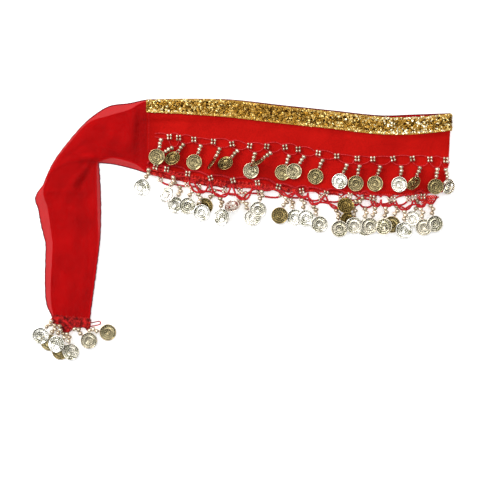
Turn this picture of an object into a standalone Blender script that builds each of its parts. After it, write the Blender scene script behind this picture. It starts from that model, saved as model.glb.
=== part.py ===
"""A coin hip scarf, folded in half at its middle and laid flat.

One strip of chiffon makes the hip band, which turns back on itself at the fold, and a tie
is sewn to each end of it. A sequin braid runs along the top edge. Crocheted nets carry
bead strands, and a stamped coin hangs from each strand. The two halves lie on each other.

Sizes are in millimetres. X runs along the band to the fold, Y up towards the braid and Z
up from the table. The tables are measured from a point near the middle of the laid scarf,
and the last step moves everything so that the origin is under the middle of its box.
"""

import bisect
import math
from collections import namedtuple

import bmesh
import bpy
from mathutils import Matrix, Vector

MM = 0.001

# Thicknesses and clearances
CLOTH = 1.4  # wall of chiffon, two plies and their hems
BRAID = 1.4  # sequin braid on its mesh ground
NET = 1.2  # crochet cord
GAP = 0.3  # between pieces that touch
NET_GAP = 0.5  # below the crochet, which spans the waves under it
FLOOR_GAP = 0.2  # fringe ends just above the table

# Hip band
SEAM_X = -116.4  # the tie is sewn on here
FOLD_X = 246.4  # the fold, at the top edge
FOLD_LEAN = 5.5  # how far the fold leans in at the bottom edge
BRAID_EDGE = 0.6  # bare cloth above the braid
BRAID_STEP = 21.5  # below the top edge: the band leaves the braid under it from here
BRAID_STEP_END = 26.0  # and lies on the table from here
BACK_TUCK = 0.8  # the back half's bottom edge is this much higher

BandRow = namedtuple("BandRow", "x top bottom braid peek")
BAND = (
    BandRow(-116.4, 155.8, 68.2, 14.5, 0.0),
    BandRow(-70.8, 156.6, 59.4, 17.5, 0.0),
    BandRow(-16.8, 155.5, 52.8, 20.4, 0.4),
    BandRow(43.2, 148.4, 49.0, 20.4, 1.0),
    BandRow(103.2, 142.1, 44.5, 20.4, 1.0),
    BandRow(163.2, 135.7, 41.9, 20.8, 1.2),
    BandRow(205.0, 135.4, 42.6, 20.6, 2.6),
    BandRow(246.4, 139.4, 46.5, 20.2, 0.0),
)

# Soft waves across the front of the band, growing from the braid down
BandWave = namedtuple("BandWave", "x height width")
BAND_WAVES = (
    BandWave(-100.0, 1.2, 12.0),
    BandWave(-38.0, 0.8, 20.0),
    BandWave(28.0, 1.1, 22.0),
    BandWave(92.0, 0.8, 18.0),
    BandWave(150.0, 1.0, 22.0),
    BandWave(214.0, 1.2, 14.0),
)

# Sections of the tie from the seam to its end. bow bends a section back towards the seam,
# rise lifts its middle, and the insets are how far the back tie's edges lie inside.
TieRow = namedtuple(
    "TieRow", "outer_x outer_y inner_x inner_y bow rise outer_inset inner_inset"
)
TIE = (
    TieRow(-116.7, 155.8, -116.7, 68.2, 0.0, 0.0, 0.8, 0.8),
    TieRow(-127.0, 153.9, -127.0, 71.8, 0.0, 0.3, 4.0, 6.0),
    TieRow(-138.4, 151.6, -138.0, 74.9, 0.0, 0.8, 8.0, 7.5),
    TieRow(-163.0, 147.6, -156.0, 79.0, 0.0, 1.6, 11.0, 8.0),
    TieRow(-187.2, 131.2, -168.0, 80.4, 2.0, 2.4, 3.0, 4.0),
    TieRow(-209.0, 107.3, -172.0, 80.6, 5.0, 3.4, 2.0, 2.0),
    TieRow(-226.5, 84.0, -173.6, 80.5, 9.0, 4.5, 3.0, 2.0),
    TieRow(-237.0, 63.5, -174.2, 79.6, 11.0, 7.0, 3.0, 2.0),
    TieRow(-240.5, 54.5, -174.3, 76.6, 10.0, 1.8, 5.0, 2.5),
    TieRow(-250.1, 39.1, -173.4, 68.0, 3.0, 1.0, 11.0, 4.0),
    TieRow(-246.4, 24.0, -172.0, 40.0, 0.0, 1.2, 11.5, 5.0),
    TieRow(-243.0, 5.0, -171.8, 9.6, 0.0, 0.8, 11.0, 4.0),
    TieRow(-237.8, -16.3, -173.3, -17.0, 0.0, 0.8, 8.7, 2.0),
    TieRow(-238.1, -40.0, -176.2, -40.0, 0.0, 0.5, 8.0, 1.5),
    TieRow(-238.4, -64.0, -179.2, -64.0, 0.0, 0.5, 7.0, 1.5),
    TieRow(-236.8, -88.0, -182.6, -88.0, 0.0, 0.5, 6.0, 1.5),
    TieRow(-229.6, -104.4, -184.8, -108.6, 0.0, 0.2, 2.0, 1.5),
)
SEAM_EASE = 14.0  # the tie comes down to the table over this length
FULL_DROOP = 6.0  # an inset at least this wide lets the front tie's edge down

# Creases of the front tie that stand up from its sections
Crease = namedtuple("Crease", "from_x from_y to_x to_y height width")
TIE_CREASES = (
    Crease(-179.0, 74.0, -176.0, 26.0, 3.0, 5.0),
    Crease(-180.0, 88.0, -205.0, 122.0, 1.6, 7.0),
    Crease(-164.0, 90.0, -150.0, 128.0, 1.4, 8.0),
    Crease(-132.0, 84.0, -132.0, 134.0, 1.2, 6.0),
    Crease(-204.0, 56.0, -222.0, 26.0, 1.6, 7.0),
    Crease(-228.0, 8.0, -226.0, -70.0, 0.8, 8.0),
)

# Crochet nets
PAD = 3.2  # half the width of the knot that holds a cluster of four small beads
END_PAD = 1.2  # the same, where a net ends
THREAD = 2.0  # width of the crocheted cord
UPPER_RISE = 6.5  # from the knots up to where the cord is stitched down
LOWER_RISE = 6.5
NET_CLIMB = 9.0  # the front net climbs on to the back row's beads over this length

LinePoint = namedtuple("LinePoint", "x y")
UPPER_LINE = (
    LinePoint(-110.0, 113.5),
    LinePoint(-89.0, 111.4),
    LinePoint(-36.6, 105.6),
    LinePoint(6.8, 100.6),
    LinePoint(49.0, 98.9),
    LinePoint(88.8, 92.0),
    LinePoint(135.4, 85.3),
    LinePoint(201.4, 85.3),
    LinePoint(247.0, 83.4),
)
LOWER_LINE = (
    LinePoint(-116.0, 77.0),
    LinePoint(-105.8, 75.2),
    LinePoint(-40.0, 62.2),
    LinePoint(16.0, 56.3),
    LinePoint(69.0, 46.7),
    LinePoint(126.5, 41.2),
    LinePoint(178.0, 36.7),
    LinePoint(218.4, 40.4),
    LinePoint(236.0, 42.5),
)
# How far the back net's knots hang below the back half's edge, which y holds here
BACK_LINE = (
    LinePoint(-80.0, 4.6),
    LinePoint(0.0, 7.0),
    LinePoint(210.0, 8.0),
)

# Bead strands and coins
BEAD = 6.0  # diameter
FIRST_BEAD = 4.2  # from the net down the strand
SECOND_BEAD = 11.2
STRAND_END = 13.9
STRING = 0.8  # radius of the string between the beads
COIN = 20.0  # diameter
COIN_THICK = 0.6
COIN_SIDES = 14
COIN_LEAN = 6.0  # degrees that a coin comes down from its string
TURN_LIFT = 0.5  # how much of its turn lifts a turned coin's free end

# along is the strand's place, depth its root below the knots, swing its angle from
# straight down, turn the coin's turn about the strand, lift its height over what it is on
Drop = namedtuple("Drop", "along depth swing turn lift")
UPPER_DROPS = (
    Drop(-97.8, 2.5, -16.0, 0.0, 4.4),
    Drop(-84.0, 11.0, -57.0, 0.0, 1.8),
    Drop(-70.8, 5.5, -38.0, 35.0, 0.0),
    Drop(-50.4, 4.5, -23.0, 0.0, 1.2),
    Drop(-27.6, 5.5, -28.0, 72.0, 0.0),
    Drop(-6.0, 5.5, -44.0, 38.0, 0.0),
    Drop(13.2, 6.5, -12.0, 0.0, 1.6),
    Drop(33.6, 6.5, -52.0, 72.0, 4.6),
    Drop(55.2, 7.5, -22.0, 0.0, 0.0),
    Drop(73.2, 5.5, -35.0, 0.0, 1.6),
    Drop(94.8, 5.5, -23.0, 0.0, 0.0),
    Drop(123.6, 6.5, -23.0, 0.0, 1.4),
    Drop(138.0, 6.5, -11.0, 0.0, 2.4),
    Drop(163.8, 7.0, -17.0, 0.0, 0.0),
    Drop(188.6, 7.5, -7.0, 0.0, 0.0),
    Drop(211.8, 8.5, -24.0, 50.0, 0.0),
    Drop(230.5, 9.0, -4.0, 0.0, 2.4),
    Drop(241.2, 9.0, 7.0, 42.0, 0.0),
)
LOWER_DROPS = (
    Drop(-112.0, 3.0, -24.0, 0.0, 4.0),
    Drop(-82.5, 6.0, -23.0, 26.0, 4.0),
    Drop(-53.7, 20.0, 7.0, 0.0, 3.0),
    Drop(-27.9, 21.0, 3.0, 14.0, 3.0),
    Drop(-1.2, 22.0, 28.0, 0.0, 3.0),
    Drop(23.0, 7.7, -15.0, 0.0, 5.0),
    Drop(52.2, 10.0, -23.0, 0.0, 3.0),
    Drop(69.9, 8.5, 10.0, 0.0, 3.0),
    Drop(83.3, 15.0, 17.0, 0.0, 3.0),
    Drop(111.8, 17.0, 6.0, 0.0, 3.0),
    Drop(132.5, 11.0, -2.0, 0.0, 4.3),
    Drop(144.0, 2.0, -70.0, 24.0, 6.5),
    Drop(158.0, 10.0, -18.0, 0.0, 3.0),
    Drop(170.0, 9.0, -7.0, 20.0, 5.2),
    Drop(192.6, 13.4, -2.0, 0.0, 3.0),
    Drop(212.0, 12.5, 8.0, 0.0, 3.0),
    Drop(223.5, 10.0, 11.0, 0.0, 4.4),
)
BACK_DROPS = (
    Drop(-75.0, 2.7, -16.0, 0.0, 0.0),
    Drop(-61.5, 1.0, -15.0, 0.0, 1.4),
    Drop(-33.0, 1.0, -36.0, 0.0, 0.0),
    Drop(5.0, 1.0, -50.0, 40.0, 0.0),
    Drop(56.8, 3.0, 10.0, 0.0, 0.0),
    Drop(128.4, 1.0, -7.0, 0.0, 0.0),
    Drop(146.5, 9.0, -3.0, 0.0, 0.0),
    Drop(184.8, 7.0, -18.0, 0.0, 0.0),
    Drop(209.4, 1.5, -17.0, 0.0, 0.0),
)
BARE_BACK_CELLS = (-92.0, -47.0, -14.0, 32.0, 80.0, 104.0, 166.0)
TIE_END_DROPS = (
    Drop(-228.6, 3.6, -38.0, 0.0, 3.0),
    Drop(-219.0, 8.0, -12.0, 14.0, 4.6),
    Drop(-210.5, 16.5, 8.0, 0.0, 3.0),
    Drop(-203.5, 10.0, 48.0, 0.0, 3.0),
)
BACK_END_DROPS = (
    Drop(-225.0, 8.0, -20.0, 0.0, 1.4),
    Drop(-215.0, 17.0, -12.0, 0.0, 0.0),
    Drop(-187.0, 11.0, 80.0, 0.0, 0.0),
)
EDGING = 3.6  # depth of the tie's crochet edging between its strands

# Mesh fineness
BAND_STEPS, BACK_STEPS, TURN_STEPS = 18, 12, 4
TIE_STEPS, BACK_TIE_STEPS, TIE_ACROSS = 2, 2, 5

RED = (0.60, 0.010, 0.014, 1.0)
GOLD = (0.62, 0.40, 0.08, 1.0)
COIN_GOLD = (0.60, 0.56, 0.40, 1.0)


def material(name, colour, roughness, metallic):
    made = bpy.data.materials.new(name)
    made.use_nodes = True
    shader = made.node_tree.nodes["Principled BSDF"]
    shader.inputs["Base Color"].default_value = colour
    shader.inputs["Roughness"].default_value = roughness
    shader.inputs["Metallic"].default_value = metallic
    made.diffuse_color = colour
    return made


def ease(share):
    """0 up to share 0, 1 from share 1 on, smooth between."""
    share = min(max(share, 0.0), 1.0)
    return share * share * (3 - 2 * share)


def smooth_value(places, values, at):
    """The value at a place on a smooth curve through the values at the given places."""
    last = len(places) - 1
    at = min(max(at, places[0]), places[-1])
    i = min(max(bisect.bisect_right(places, at) - 1, 0), last - 1)

    def slope(k):
        before, after = max(k - 1, 0), min(k + 1, last)
        return (values[after] - values[before]) / (places[after] - places[before])

    span = places[i + 1] - places[i]
    f = (at - places[i]) / span
    start = (1 + 2 * f) * (1 - f) ** 2 * values[i] + f * (1 - f) ** 2 * span * slope(i)
    end = f * f * (3 - 2 * f) * values[i + 1] - f * f * (1 - f) * span * slope(i + 1)
    return start + end


def column_at(table, column, x):
    return smooth_value([row.x for row in table], [getattr(row, column) for row in table], x)


def section_at(table, place):
    """The table's row at a place counted in rows, with every column smooth between rows."""
    rows = range(len(table))
    return type(table[0])(*(smooth_value(rows, column, place) for column in zip(*table)))


# The hip band's surface


def band_height(x):
    return column_at(BAND, "top", x) - column_at(BAND, "bottom", x)


def over_braid(below):
    """How far the band is held up by the braid under it, at a distance below its top edge."""
    share = (below - BRAID_STEP) / (BRAID_STEP_END - BRAID_STEP)
    return (BRAID + GAP) * (1 - ease(share))


def band_wave(x, share):
    """Height of the front's waves at x, at a share of the way down the band."""
    return share * sum(w.height * math.exp(-(((x - w.x) / w.width) ** 2)) for w in BAND_WAVES)


def front_middle(x, y):
    """Height of the middle of the front wall over a point of the table."""
    below = column_at(BAND, "top", x) - y
    share = min(max(below / band_height(x), 0.0), 1.0)
    return over_braid(below) + 1.5 * CLOTH + GAP + band_wave(x, share)


def front_top(x, y):
    return front_middle(x, y) + CLOTH / 2


def band_stations():
    """The strip's stations from the front seam round the fold to the back seam. Each is
    (share along the half, turn), and the turn is 0 on the front, 180 on the back."""
    front = [(i / BAND_STEPS, 0.0) for i in range(BAND_STEPS)]
    turn = [(1.0, 180.0 * i / TURN_STEPS) for i in range(TURN_STEPS + 1)]
    back = [(1 - (i + 1) / BACK_STEPS, 180.0) for i in range(BACK_STEPS)]
    return front + turn + back


def band_point(station, below, share, out):
    """A point of the folded strip, moved out of its middle surface by a distance."""
    along, turn = station
    lean = FOLD_LEAN * share * share
    x = SEAM_X + along * (FOLD_X - lean - SEAM_X)
    table_x = SEAM_X + along * (FOLD_X - SEAM_X)
    on_back = turn / 180.0
    top = column_at(BAND, "top", table_x) + on_back * column_at(BAND, "peek", table_x)
    half_gap = (CLOTH + GAP) / 2
    angle = math.radians(turn)
    middle = over_braid(below) + CLOTH + GAP / 2
    wave = band_wave(table_x, share) * (1 - on_back) * (1 if turn == 0.0 else 0)
    x += (half_gap + out) * math.sin(angle)
    z = middle + (half_gap + out) * math.cos(angle) + wave
    return Vector((x, top - below, z)) * MM


def band_place(station, across):
    """A point of the hip band's middle surface: across counts its lengthwise lines."""
    along, turn = station
    table_x = SEAM_X + along * (FOLD_X - SEAM_X)
    height = band_height(table_x) - BACK_TUCK * turn / 180.0
    upper = (0.0, BRAID_STEP / 2, BRAID_STEP, BRAID_STEP_END)
    lower = 3
    if across < len(upper):
        below = upper[across]
    else:
        share = (across - len(upper) + 1) / lower
        below = BRAID_STEP_END + share * (height - BRAID_STEP_END)
    return band_point(station, below, below / height, 0.0)


def braid_place(station, across):
    """A point of the braid's middle surface, moved out from the band."""
    table_x = SEAM_X + station[0] * (FOLD_X - SEAM_X)
    below = BRAID_EDGE + across / 2 * (column_at(BAND, "braid", table_x) - BRAID_EDGE)
    out = CLOTH / 2 + GAP + BRAID / 2
    return band_point(station, below, below / band_height(table_x), out)


# The ties' surfaces


def crease_height(x, y):
    """Height of the tie's creases over a point of the table."""
    total = 0.0
    for crease in TIE_CREASES:
        start = Vector((crease.from_x, crease.from_y))
        line = Vector((crease.to_x, crease.to_y)) - start
        offset = Vector((x, y)) - start
        share = min(max(offset.dot(line) / line.length_squared, 0.0), 1.0)
        away = (offset - line * share).length / crease.width
        total += crease.height * math.exp(-away * away)
    return total


def tie_point(section, share, seam_share):
    """A point of the tie's plan at a share of the way across its section, with the height
    that the braid beside it gives at the seam."""
    outer = Vector((section.outer_x, section.outer_y))
    inner = Vector((section.inner_x, section.inner_y))
    across = inner - outer
    onward = Vector((across.y, -across.x)).normalized()
    place = outer + across * share - onward * section.bow * (1 - (2 * share - 1) ** 2)
    held_up = over_braid(share * across.length) * (1 - ease(seam_share))
    return place, held_up, across.length


def section_shares(section, front):
    """Shares across a section where its lengthwise lines run. The front tie has its two
    edges outside the back tie's edges."""
    width = math.hypot(section.inner_x - section.outer_x, section.inner_y - section.outer_y)
    first = section.outer_inset / width
    last = 1 - section.inner_inset / width
    inside = [first + (last - first) * i / TIE_ACROSS for i in range(TIE_ACROSS + 1)]
    return [0.0, *inside, 1.0] if front else inside


def edge_droop(inset):
    """How far the front tie's edge comes down where the back tie lies inside it."""
    return (CLOTH + GAP - FLOOR_GAP) * ease(inset / FULL_DROOP)


def tie_place(section, across, front):
    """A point of a tie's middle surface. across counts its lengthwise lines."""
    shares = section_shares(section, front)
    share = shares[across]
    seam_share = (SEAM_X - section.outer_x) / SEAM_EASE
    place, held_up, _ = tie_point(section, share, seam_share)
    z = held_up + CLOTH / 2
    if front:
        z += CLOTH + GAP
        belly = 1 - (2 * share - 1) ** 4
        z += section.rise * belly
        if 0 < across < len(shares) - 1:
            z += crease_height(place.x, place.y) * belly * ease(seam_share)
        elif across == 0:
            z -= edge_droop(section.outer_inset)
        else:
            z -= edge_droop(section.inner_inset)
    return Vector((place.x, place.y, z)) * MM


# Making objects


def add_object(name, mesh, made_of, root):
    made = bpy.data.objects.new(name, mesh)
    bpy.data.collections["hip_scarf"].objects.link(made)
    if made_of and not mesh.materials:
        mesh.materials.append(made_of)
    made.parent = root
    return made


def solidify(made, thickness):
    wall = made.modifiers.new("wall", "SOLIDIFY")
    wall.thickness = thickness * MM
    wall.offset = 0.0
    wall.use_even_offset = True


def cloth_wall(name, columns, rows, place, thickness, made_of, root):
    """A wall of cloth: a grid whose points are put in place, with its thickness."""
    grid = bmesh.new()
    bmesh.ops.create_grid(grid, x_segments=columns, y_segments=rows, size=1.0)
    for vertex in grid.verts:
        column = round((vertex.co.x + 1) / 2 * columns)
        row = round((vertex.co.y + 1) / 2 * rows)
        vertex.co = place(column, row)
    mesh = bpy.data.meshes.new(name)
    grid.to_mesh(mesh)
    grid.free()
    made = add_object(name, mesh, made_of, root)
    solidify(made, thickness)
    return made


def make_band(chiffon, gold, root):
    stations = band_stations()
    cloth_wall(
        "hip_band", len(stations) - 1, 6,
        lambda i, j: band_place(stations[i], j), CLOTH, chiffon, root,
    )
    cloth_wall(
        "sequin_braid", len(stations) - 1, 2,
        lambda i, j: braid_place(stations[i], j), BRAID, gold, root,
    )


def make_tie(name, steps, front, chiffon, root):
    count = (len(TIE) - 1) * steps
    sections = [section_at(TIE, i / steps) for i in range(count + 1)]
    lines = len(section_shares(sections[0], front)) - 1
    cloth_wall(
        name, count, lines,
        lambda i, j: tie_place(sections[i], j, front), CLOTH, chiffon, root,
    )


def strand_path(start, drop, base):
    """The strand's own points as (place, radius), from the net to the coin, and the coin's
    matrix. base is the height of what they lie on."""
    swing = math.radians(drop.swing)
    down = Vector((math.sin(swing), -math.cos(swing), 0.0))
    turn = math.radians(drop.turn)
    lean = math.radians(COIN_LEAN - TURN_LIFT * drop.turn)
    side = down.cross(Vector((0.0, 0.0, 1.0)))
    axis = (down * math.cos(lean) - Vector((0.0, 0.0, math.sin(lean)))).normalized()
    face = Matrix.Rotation(turn, 3, axis) @ side.cross(axis)
    radius = COIN / 2
    reach = radius * math.sqrt(1 - face.z**2)
    centre_z = base + reach + COIN_THICK / 2 + FLOOR_GAP
    hole_z = centre_z + radius * math.sin(lean)
    bead_z = base + BEAD / 2 + FLOOR_GAP
    second_z = max(bead_z, (bead_z + hole_z) / 2)

    def on_strand(distance, z):
        place = start + down * distance
        return Vector((place.x, place.y, z))

    between = (FIRST_BEAD + SECOND_BEAD) / 2
    points = (
        (on_strand(-0.5, start.z), STRING),
        (on_strand(0.9, start.z), STRING),
        (on_strand(FIRST_BEAD, bead_z), BEAD / 2),
        (on_strand(between, (bead_z + second_z) / 2), 1.5 * STRING),
        (on_strand(SECOND_BEAD, second_z), BEAD / 2),
        (on_strand(STRAND_END, hole_z), STRING),
    )
    rim = on_strand(STRAND_END + GAP, hole_z)
    centre = rim + axis * radius
    turned = Matrix((axis.cross(face).normalized(), -axis, face.normalized())).transposed()
    if turned.determinant() < 0:
        turned.col[0] = -turned.col[0]
    placed = Matrix.Translation(centre * MM) @ turned.to_4x4()
    return points, placed


def strand_solids(name, paths):
    """One mesh of the strands: a four-sided tube each, swelling at the beads."""
    curve = bpy.data.curves.new(name, "CURVE")
    curve.dimensions = "3D"
    curve.bevel_depth = MM
    curve.bevel_resolution = 0
    curve.use_fill_caps = True
    for points in paths:
        spline = curve.splines.new("POLY")
        spline.points.add(len(points) - 1)
        for point, (place, radius) in zip(spline.points, points):
            point.co = (*(place * MM), 1.0)
            point.radius = radius
    guide = bpy.data.objects.new(name, curve)
    bpy.data.collections["cutters"].objects.link(guide)
    graph = bpy.context.evaluated_depsgraph_get()
    mesh = bpy.data.meshes.new_from_object(guide.evaluated_get(graph))
    bpy.data.objects.remove(guide)
    welded = bmesh.new()
    welded.from_mesh(mesh)
    bmesh.ops.remove_doubles(welded, verts=welded.verts, dist=0.01 * MM)
    welded.to_mesh(mesh)
    welded.free()
    made = bpy.data.objects.new(name, mesh)
    bpy.data.collections["cutters"].objects.link(made)
    made.hide_render = True
    made.display_type = "WIRE"
    return made


def net_faces(cells, ends, line_y, rise):
    """The net's plan: diamonds of cord between knots, open inside. Each cell is the place
    along and the depth of a diamond's lowest point. It gives the points and the faces."""
    points, faces = [], []
    middles = [(a[0] + b[0]) / 2 for a, b in zip(cells, cells[1:])]
    knots = [ends[0], *middles, ends[1]]
    pads = [END_PAD, *[PAD] * len(middles), END_PAD]

    def add(x, y):
        points.append((x, y))
        return len(points) - 1

    sides = []
    for knot, pad in zip(knots, pads):
        y = line_y(knot)
        left = [add(knot - pad, y + PAD), add(knot - pad, y), add(knot - pad, y - PAD)]
        right = [add(knot + pad, y + PAD), add(knot + pad, y), add(knot + pad, y - PAD)]
        faces.append((left[0], left[1], right[1], right[0]))
        faces.append((left[1], left[2], right[2], right[1]))
        sides.append((left, right))
    for (along, depth), (_, start), (end, _) in zip(cells, sides, sides[1:]):
        high = line_y(along) + rise(along)
        low = line_y(along) - depth
        top = [add(along, high), add(along, high - THREAD)]
        bottom = [add(along, low + THREAD / 2), add(along, low - THREAD / 2)]
        faces.append((start[0], start[1], top[1], top[0]))
        faces.append((top[0], top[1], end[1], end[0]))
        faces.append((start[1], start[2], bottom[1], bottom[0]))
        faces.append((bottom[0], bottom[1], end[2], end[1]))
    return points, faces


def edging_faces(drops, edge_y, first, last):
    """The tie's edging: a solid strip of crochet with a tooth to each strand."""
    places = [first]
    depths = [EDGING]
    for before, drop in zip([None, *drops], drops):
        if before:
            places.append((before.along + drop.along) / 2)
            depths.append(EDGING)
        places.append(drop.along)
        depths.append(drop.depth)
    places.append(last)
    depths.append(EDGING)
    points, faces = [], []
    for x, depth in zip(places, depths):
        points += [(x, edge_y(x)), (x, edge_y(x) - depth)]
    for i in range(len(places) - 1):
        faces.append((2 * i, 2 * i + 1, 2 * i + 3, 2 * i + 2))
    return points, faces


def make_fringe(name, plan, height, roots, drops, base, thread, root):
    """A net with its strands fused to it, and its coins. plan is the net's points and faces,
    height the net's height over a point, roots the strands' roots and base what they lie on."""
    points, faces = plan
    mesh = bpy.data.meshes.new(name)
    mesh.from_pydata([Vector((x, y, height(x, y))) * MM for x, y in points], [], faces)
    made = add_object(name, mesh, thread, root)
    solidify(made, NET)
    paths, coins = [], []
    for drop, (x, y) in zip(drops, roots):
        points, placed = strand_path(Vector((x, y, height(x, y))), drop, base(x, y) + drop.lift)
        paths.append(points)
        coins.append(placed)
    join = made.modifiers.new("strands", "BOOLEAN")
    join.operation = "UNION"
    join.solver = "EXACT"
    join.object = strand_solids(name + "_strands", paths)
    join.object.parent = root
    return coins


def make_coins(name, placed, mesh, root):
    for number, matrix in enumerate(placed, 1):
        add_object(f"{name}_{number:02d}", mesh, None, root).matrix_local = matrix


def coin_mesh(gold):
    disc = bmesh.new()
    bmesh.ops.create_cone(
        disc, cap_ends=True, segments=COIN_SIDES, depth=COIN_THICK * MM,
        radius1=COIN / 2 * MM, radius2=COIN / 2 * MM,
    )
    mesh = bpy.data.meshes.new("coin")
    disc.to_mesh(mesh)
    disc.free()
    mesh.materials.append(gold)
    return mesh


def cells_of(drops, bare=()):
    """The cells of a net: one for each strand, and those whose strands are hidden."""
    return sorted([(d.along, d.depth) for d in drops] + [(along, 1.5) for along in bare])


def make_upper_fringe(thread, coin, root):
    """The row on the middle of the band, which lies on the cloth."""
    def line_y(x):
        return column_at(UPPER_LINE, "y", x)

    def height(x, y):
        return front_top(x, y) + NET_GAP + NET / 2

    ends = (UPPER_DROPS[0].along - 9.0, UPPER_DROPS[-1].along + 4.6)
    plan = net_faces(cells_of(UPPER_DROPS), ends, line_y, lambda x: UPPER_RISE)
    roots = [(d.along, line_y(d.along) - d.depth) for d in UPPER_DROPS]
    coins = make_fringe(
        "fringe_upper", plan, height, roots, UPPER_DROPS,
        lambda x, y: front_top(x, y) + GAP, thread, root,
    )
    make_coins("coin_upper", coins, coin, root)


def make_lower_fringe(thread, coin, root):
    """The row on the front half's bottom edge: its net lies over the back row's beads."""
    def line_y(x):
        return column_at(LOWER_LINE, "y", x)

    def height(x, y):
        past = column_at(BAND, "bottom", x) - y
        on_cloth = front_top(x, y) + NET_GAP + NET / 2
        on_beads = FLOOR_GAP + BEAD + NET_GAP + NET / 2
        return on_cloth + (on_beads - on_cloth) * ease(past / NET_CLIMB)

    ends = (LOWER_DROPS[0].along - 3.5, LOWER_DROPS[-1].along + 7.0)
    plan = net_faces(cells_of(LOWER_DROPS), ends, line_y, lambda x: LOWER_RISE)
    roots = [(d.along, line_y(d.along) - d.depth) for d in LOWER_DROPS]
    coins = make_fringe(
        "fringe_lower", plan, height, roots, LOWER_DROPS, lambda x, y: 0.0, thread, root,
    )
    make_coins("coin_lower", coins, coin, root)


def make_back_fringe(thread, coin, root):
    """The same row on the back half: it shows past the edge, and lies on the table."""
    def hang(x):
        return column_at(BACK_LINE, "y", x)

    def line_y(x):
        edge = column_at(BAND, "bottom", x) + column_at(BAND, "peek", x) + BACK_TUCK
        return edge - GAP - hang(x)

    ends = (BARE_BACK_CELLS[0] - 8.0, BACK_DROPS[-1].along + 8.0)
    plan = net_faces(cells_of(BACK_DROPS, BARE_BACK_CELLS), ends, line_y, hang)
    roots = [(d.along, line_y(d.along) - d.depth) for d in BACK_DROPS]
    coins = make_fringe(
        "fringe_back", plan, lambda x, y: FLOOR_GAP + NET / 2, roots, BACK_DROPS,
        lambda x, y: 0.0, thread, root,
    )
    make_coins("coin_back", coins, coin, root)


def make_end_fringe(name, coins_name, drops, level, thread, coin, root):
    """The edging across the end of a tie, with its strands."""
    end = TIE[-1]
    slope = (end.inner_y - end.outer_y) / (end.inner_x - end.outer_x)

    def edge_y(x):
        return end.outer_y + (x - end.outer_x) * slope - GAP

    plan = edging_faces(drops, edge_y, end.outer_x, end.inner_x)
    roots = [(d.along, edge_y(d.along) - d.depth + THREAD / 2) for d in drops]
    coins = make_fringe(
        name, plan, lambda x, y: level, roots, drops, lambda x, y: 0.0, thread, root,
    )
    make_coins(coins_name, coins, coin, root)


def stand_on_origin(root):
    """Moves the scarf so that the origin is under the middle of its box."""
    bpy.context.view_layer.update()
    graph = bpy.context.evaluated_depsgraph_get()
    points = [
        obj.matrix_world @ vertex.co
        for obj in bpy.data.collections["hip_scarf"].objects
        if obj.type == "MESH"
        for vertex in obj.evaluated_get(graph).data.vertices
    ]
    lowest = [min(point[i] for point in points) for i in range(3)]
    highest = [max(point[i] for point in points) for i in range(3)]
    root.location = (
        -(lowest[0] + highest[0]) / 2, -(lowest[1] + highest[1]) / 2, -lowest[2],
    )
    bpy.context.view_layer.update()


def main():
    for old in list(bpy.data.objects):
        bpy.data.objects.remove(old)
    for name in ("hip_scarf", "cutters"):
        bpy.context.scene.collection.children.link(bpy.data.collections.new(name))
    root = bpy.data.objects.new("hip_scarf", None)
    bpy.data.collections["hip_scarf"].objects.link(root)
    chiffon = material("red_chiffon", RED, 0.6, 0.0)
    thread = material("red_crochet", RED, 0.75, 0.0)
    gold = material("gold_sequins", GOLD, 0.35, 0.8)
    coin = coin_mesh(material("stamped_coin", COIN_GOLD, 0.3, 1.0))
    make_band(chiffon, gold, root)
    make_tie("tie_front", TIE_STEPS, True, chiffon, root)
    make_tie("tie_back", BACK_TIE_STEPS, False, chiffon, root)
    make_upper_fringe(thread, coin, root)
    make_lower_fringe(thread, coin, root)
    make_back_fringe(thread, coin, root)
    back_level = FLOOR_GAP + NET / 2
    front_level = back_level + NET + GAP
    make_end_fringe("edging_back", "coin_end_back", BACK_END_DROPS, back_level, thread, coin, root)
    make_end_fringe("edging_front", "coin_end", TIE_END_DROPS, front_level, thread, coin, root)
    stand_on_origin(root)


main()
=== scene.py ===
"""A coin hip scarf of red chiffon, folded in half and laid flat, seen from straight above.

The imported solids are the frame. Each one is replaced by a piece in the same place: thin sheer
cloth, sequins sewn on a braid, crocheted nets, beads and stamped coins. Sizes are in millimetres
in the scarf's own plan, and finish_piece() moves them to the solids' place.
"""

import bisect
import math
import random
from collections import namedtuple

import bmesh
import bpy
import numpy as np
from mathutils import Matrix, Vector


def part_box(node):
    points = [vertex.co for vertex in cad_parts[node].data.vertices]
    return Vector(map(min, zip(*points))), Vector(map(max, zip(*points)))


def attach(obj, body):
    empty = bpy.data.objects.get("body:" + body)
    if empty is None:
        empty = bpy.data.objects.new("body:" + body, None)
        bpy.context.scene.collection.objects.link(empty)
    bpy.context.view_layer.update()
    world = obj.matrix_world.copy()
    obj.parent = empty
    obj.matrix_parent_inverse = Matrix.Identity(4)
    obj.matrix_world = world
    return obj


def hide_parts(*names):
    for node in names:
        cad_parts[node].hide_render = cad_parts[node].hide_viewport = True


MM = 0.001
UP = Vector((0.0, 0.0, 1.0))


def table(kind, *rows):
    """The rows of a table, with their columns named."""
    return tuple(kind(*row) for row in rows)


# Thicknesses and clearances of the solids
CLOTH = 1.4
BRAID = 1.4
NET = 1.2
GAP = 0.3
NET_GAP = 0.5
FLOOR_GAP = 0.2

# Hip band
SEAM_X = -116.4
FOLD_X = 246.4
HALF = FOLD_X - SEAM_X  # length of each half
FOLD_LEAN = 5.5
BRAID_EDGE = 0.6
BRAID_STEP = 21.5
BRAID_STEP_END = 26.0
BACK_TUCK = 0.8

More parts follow.
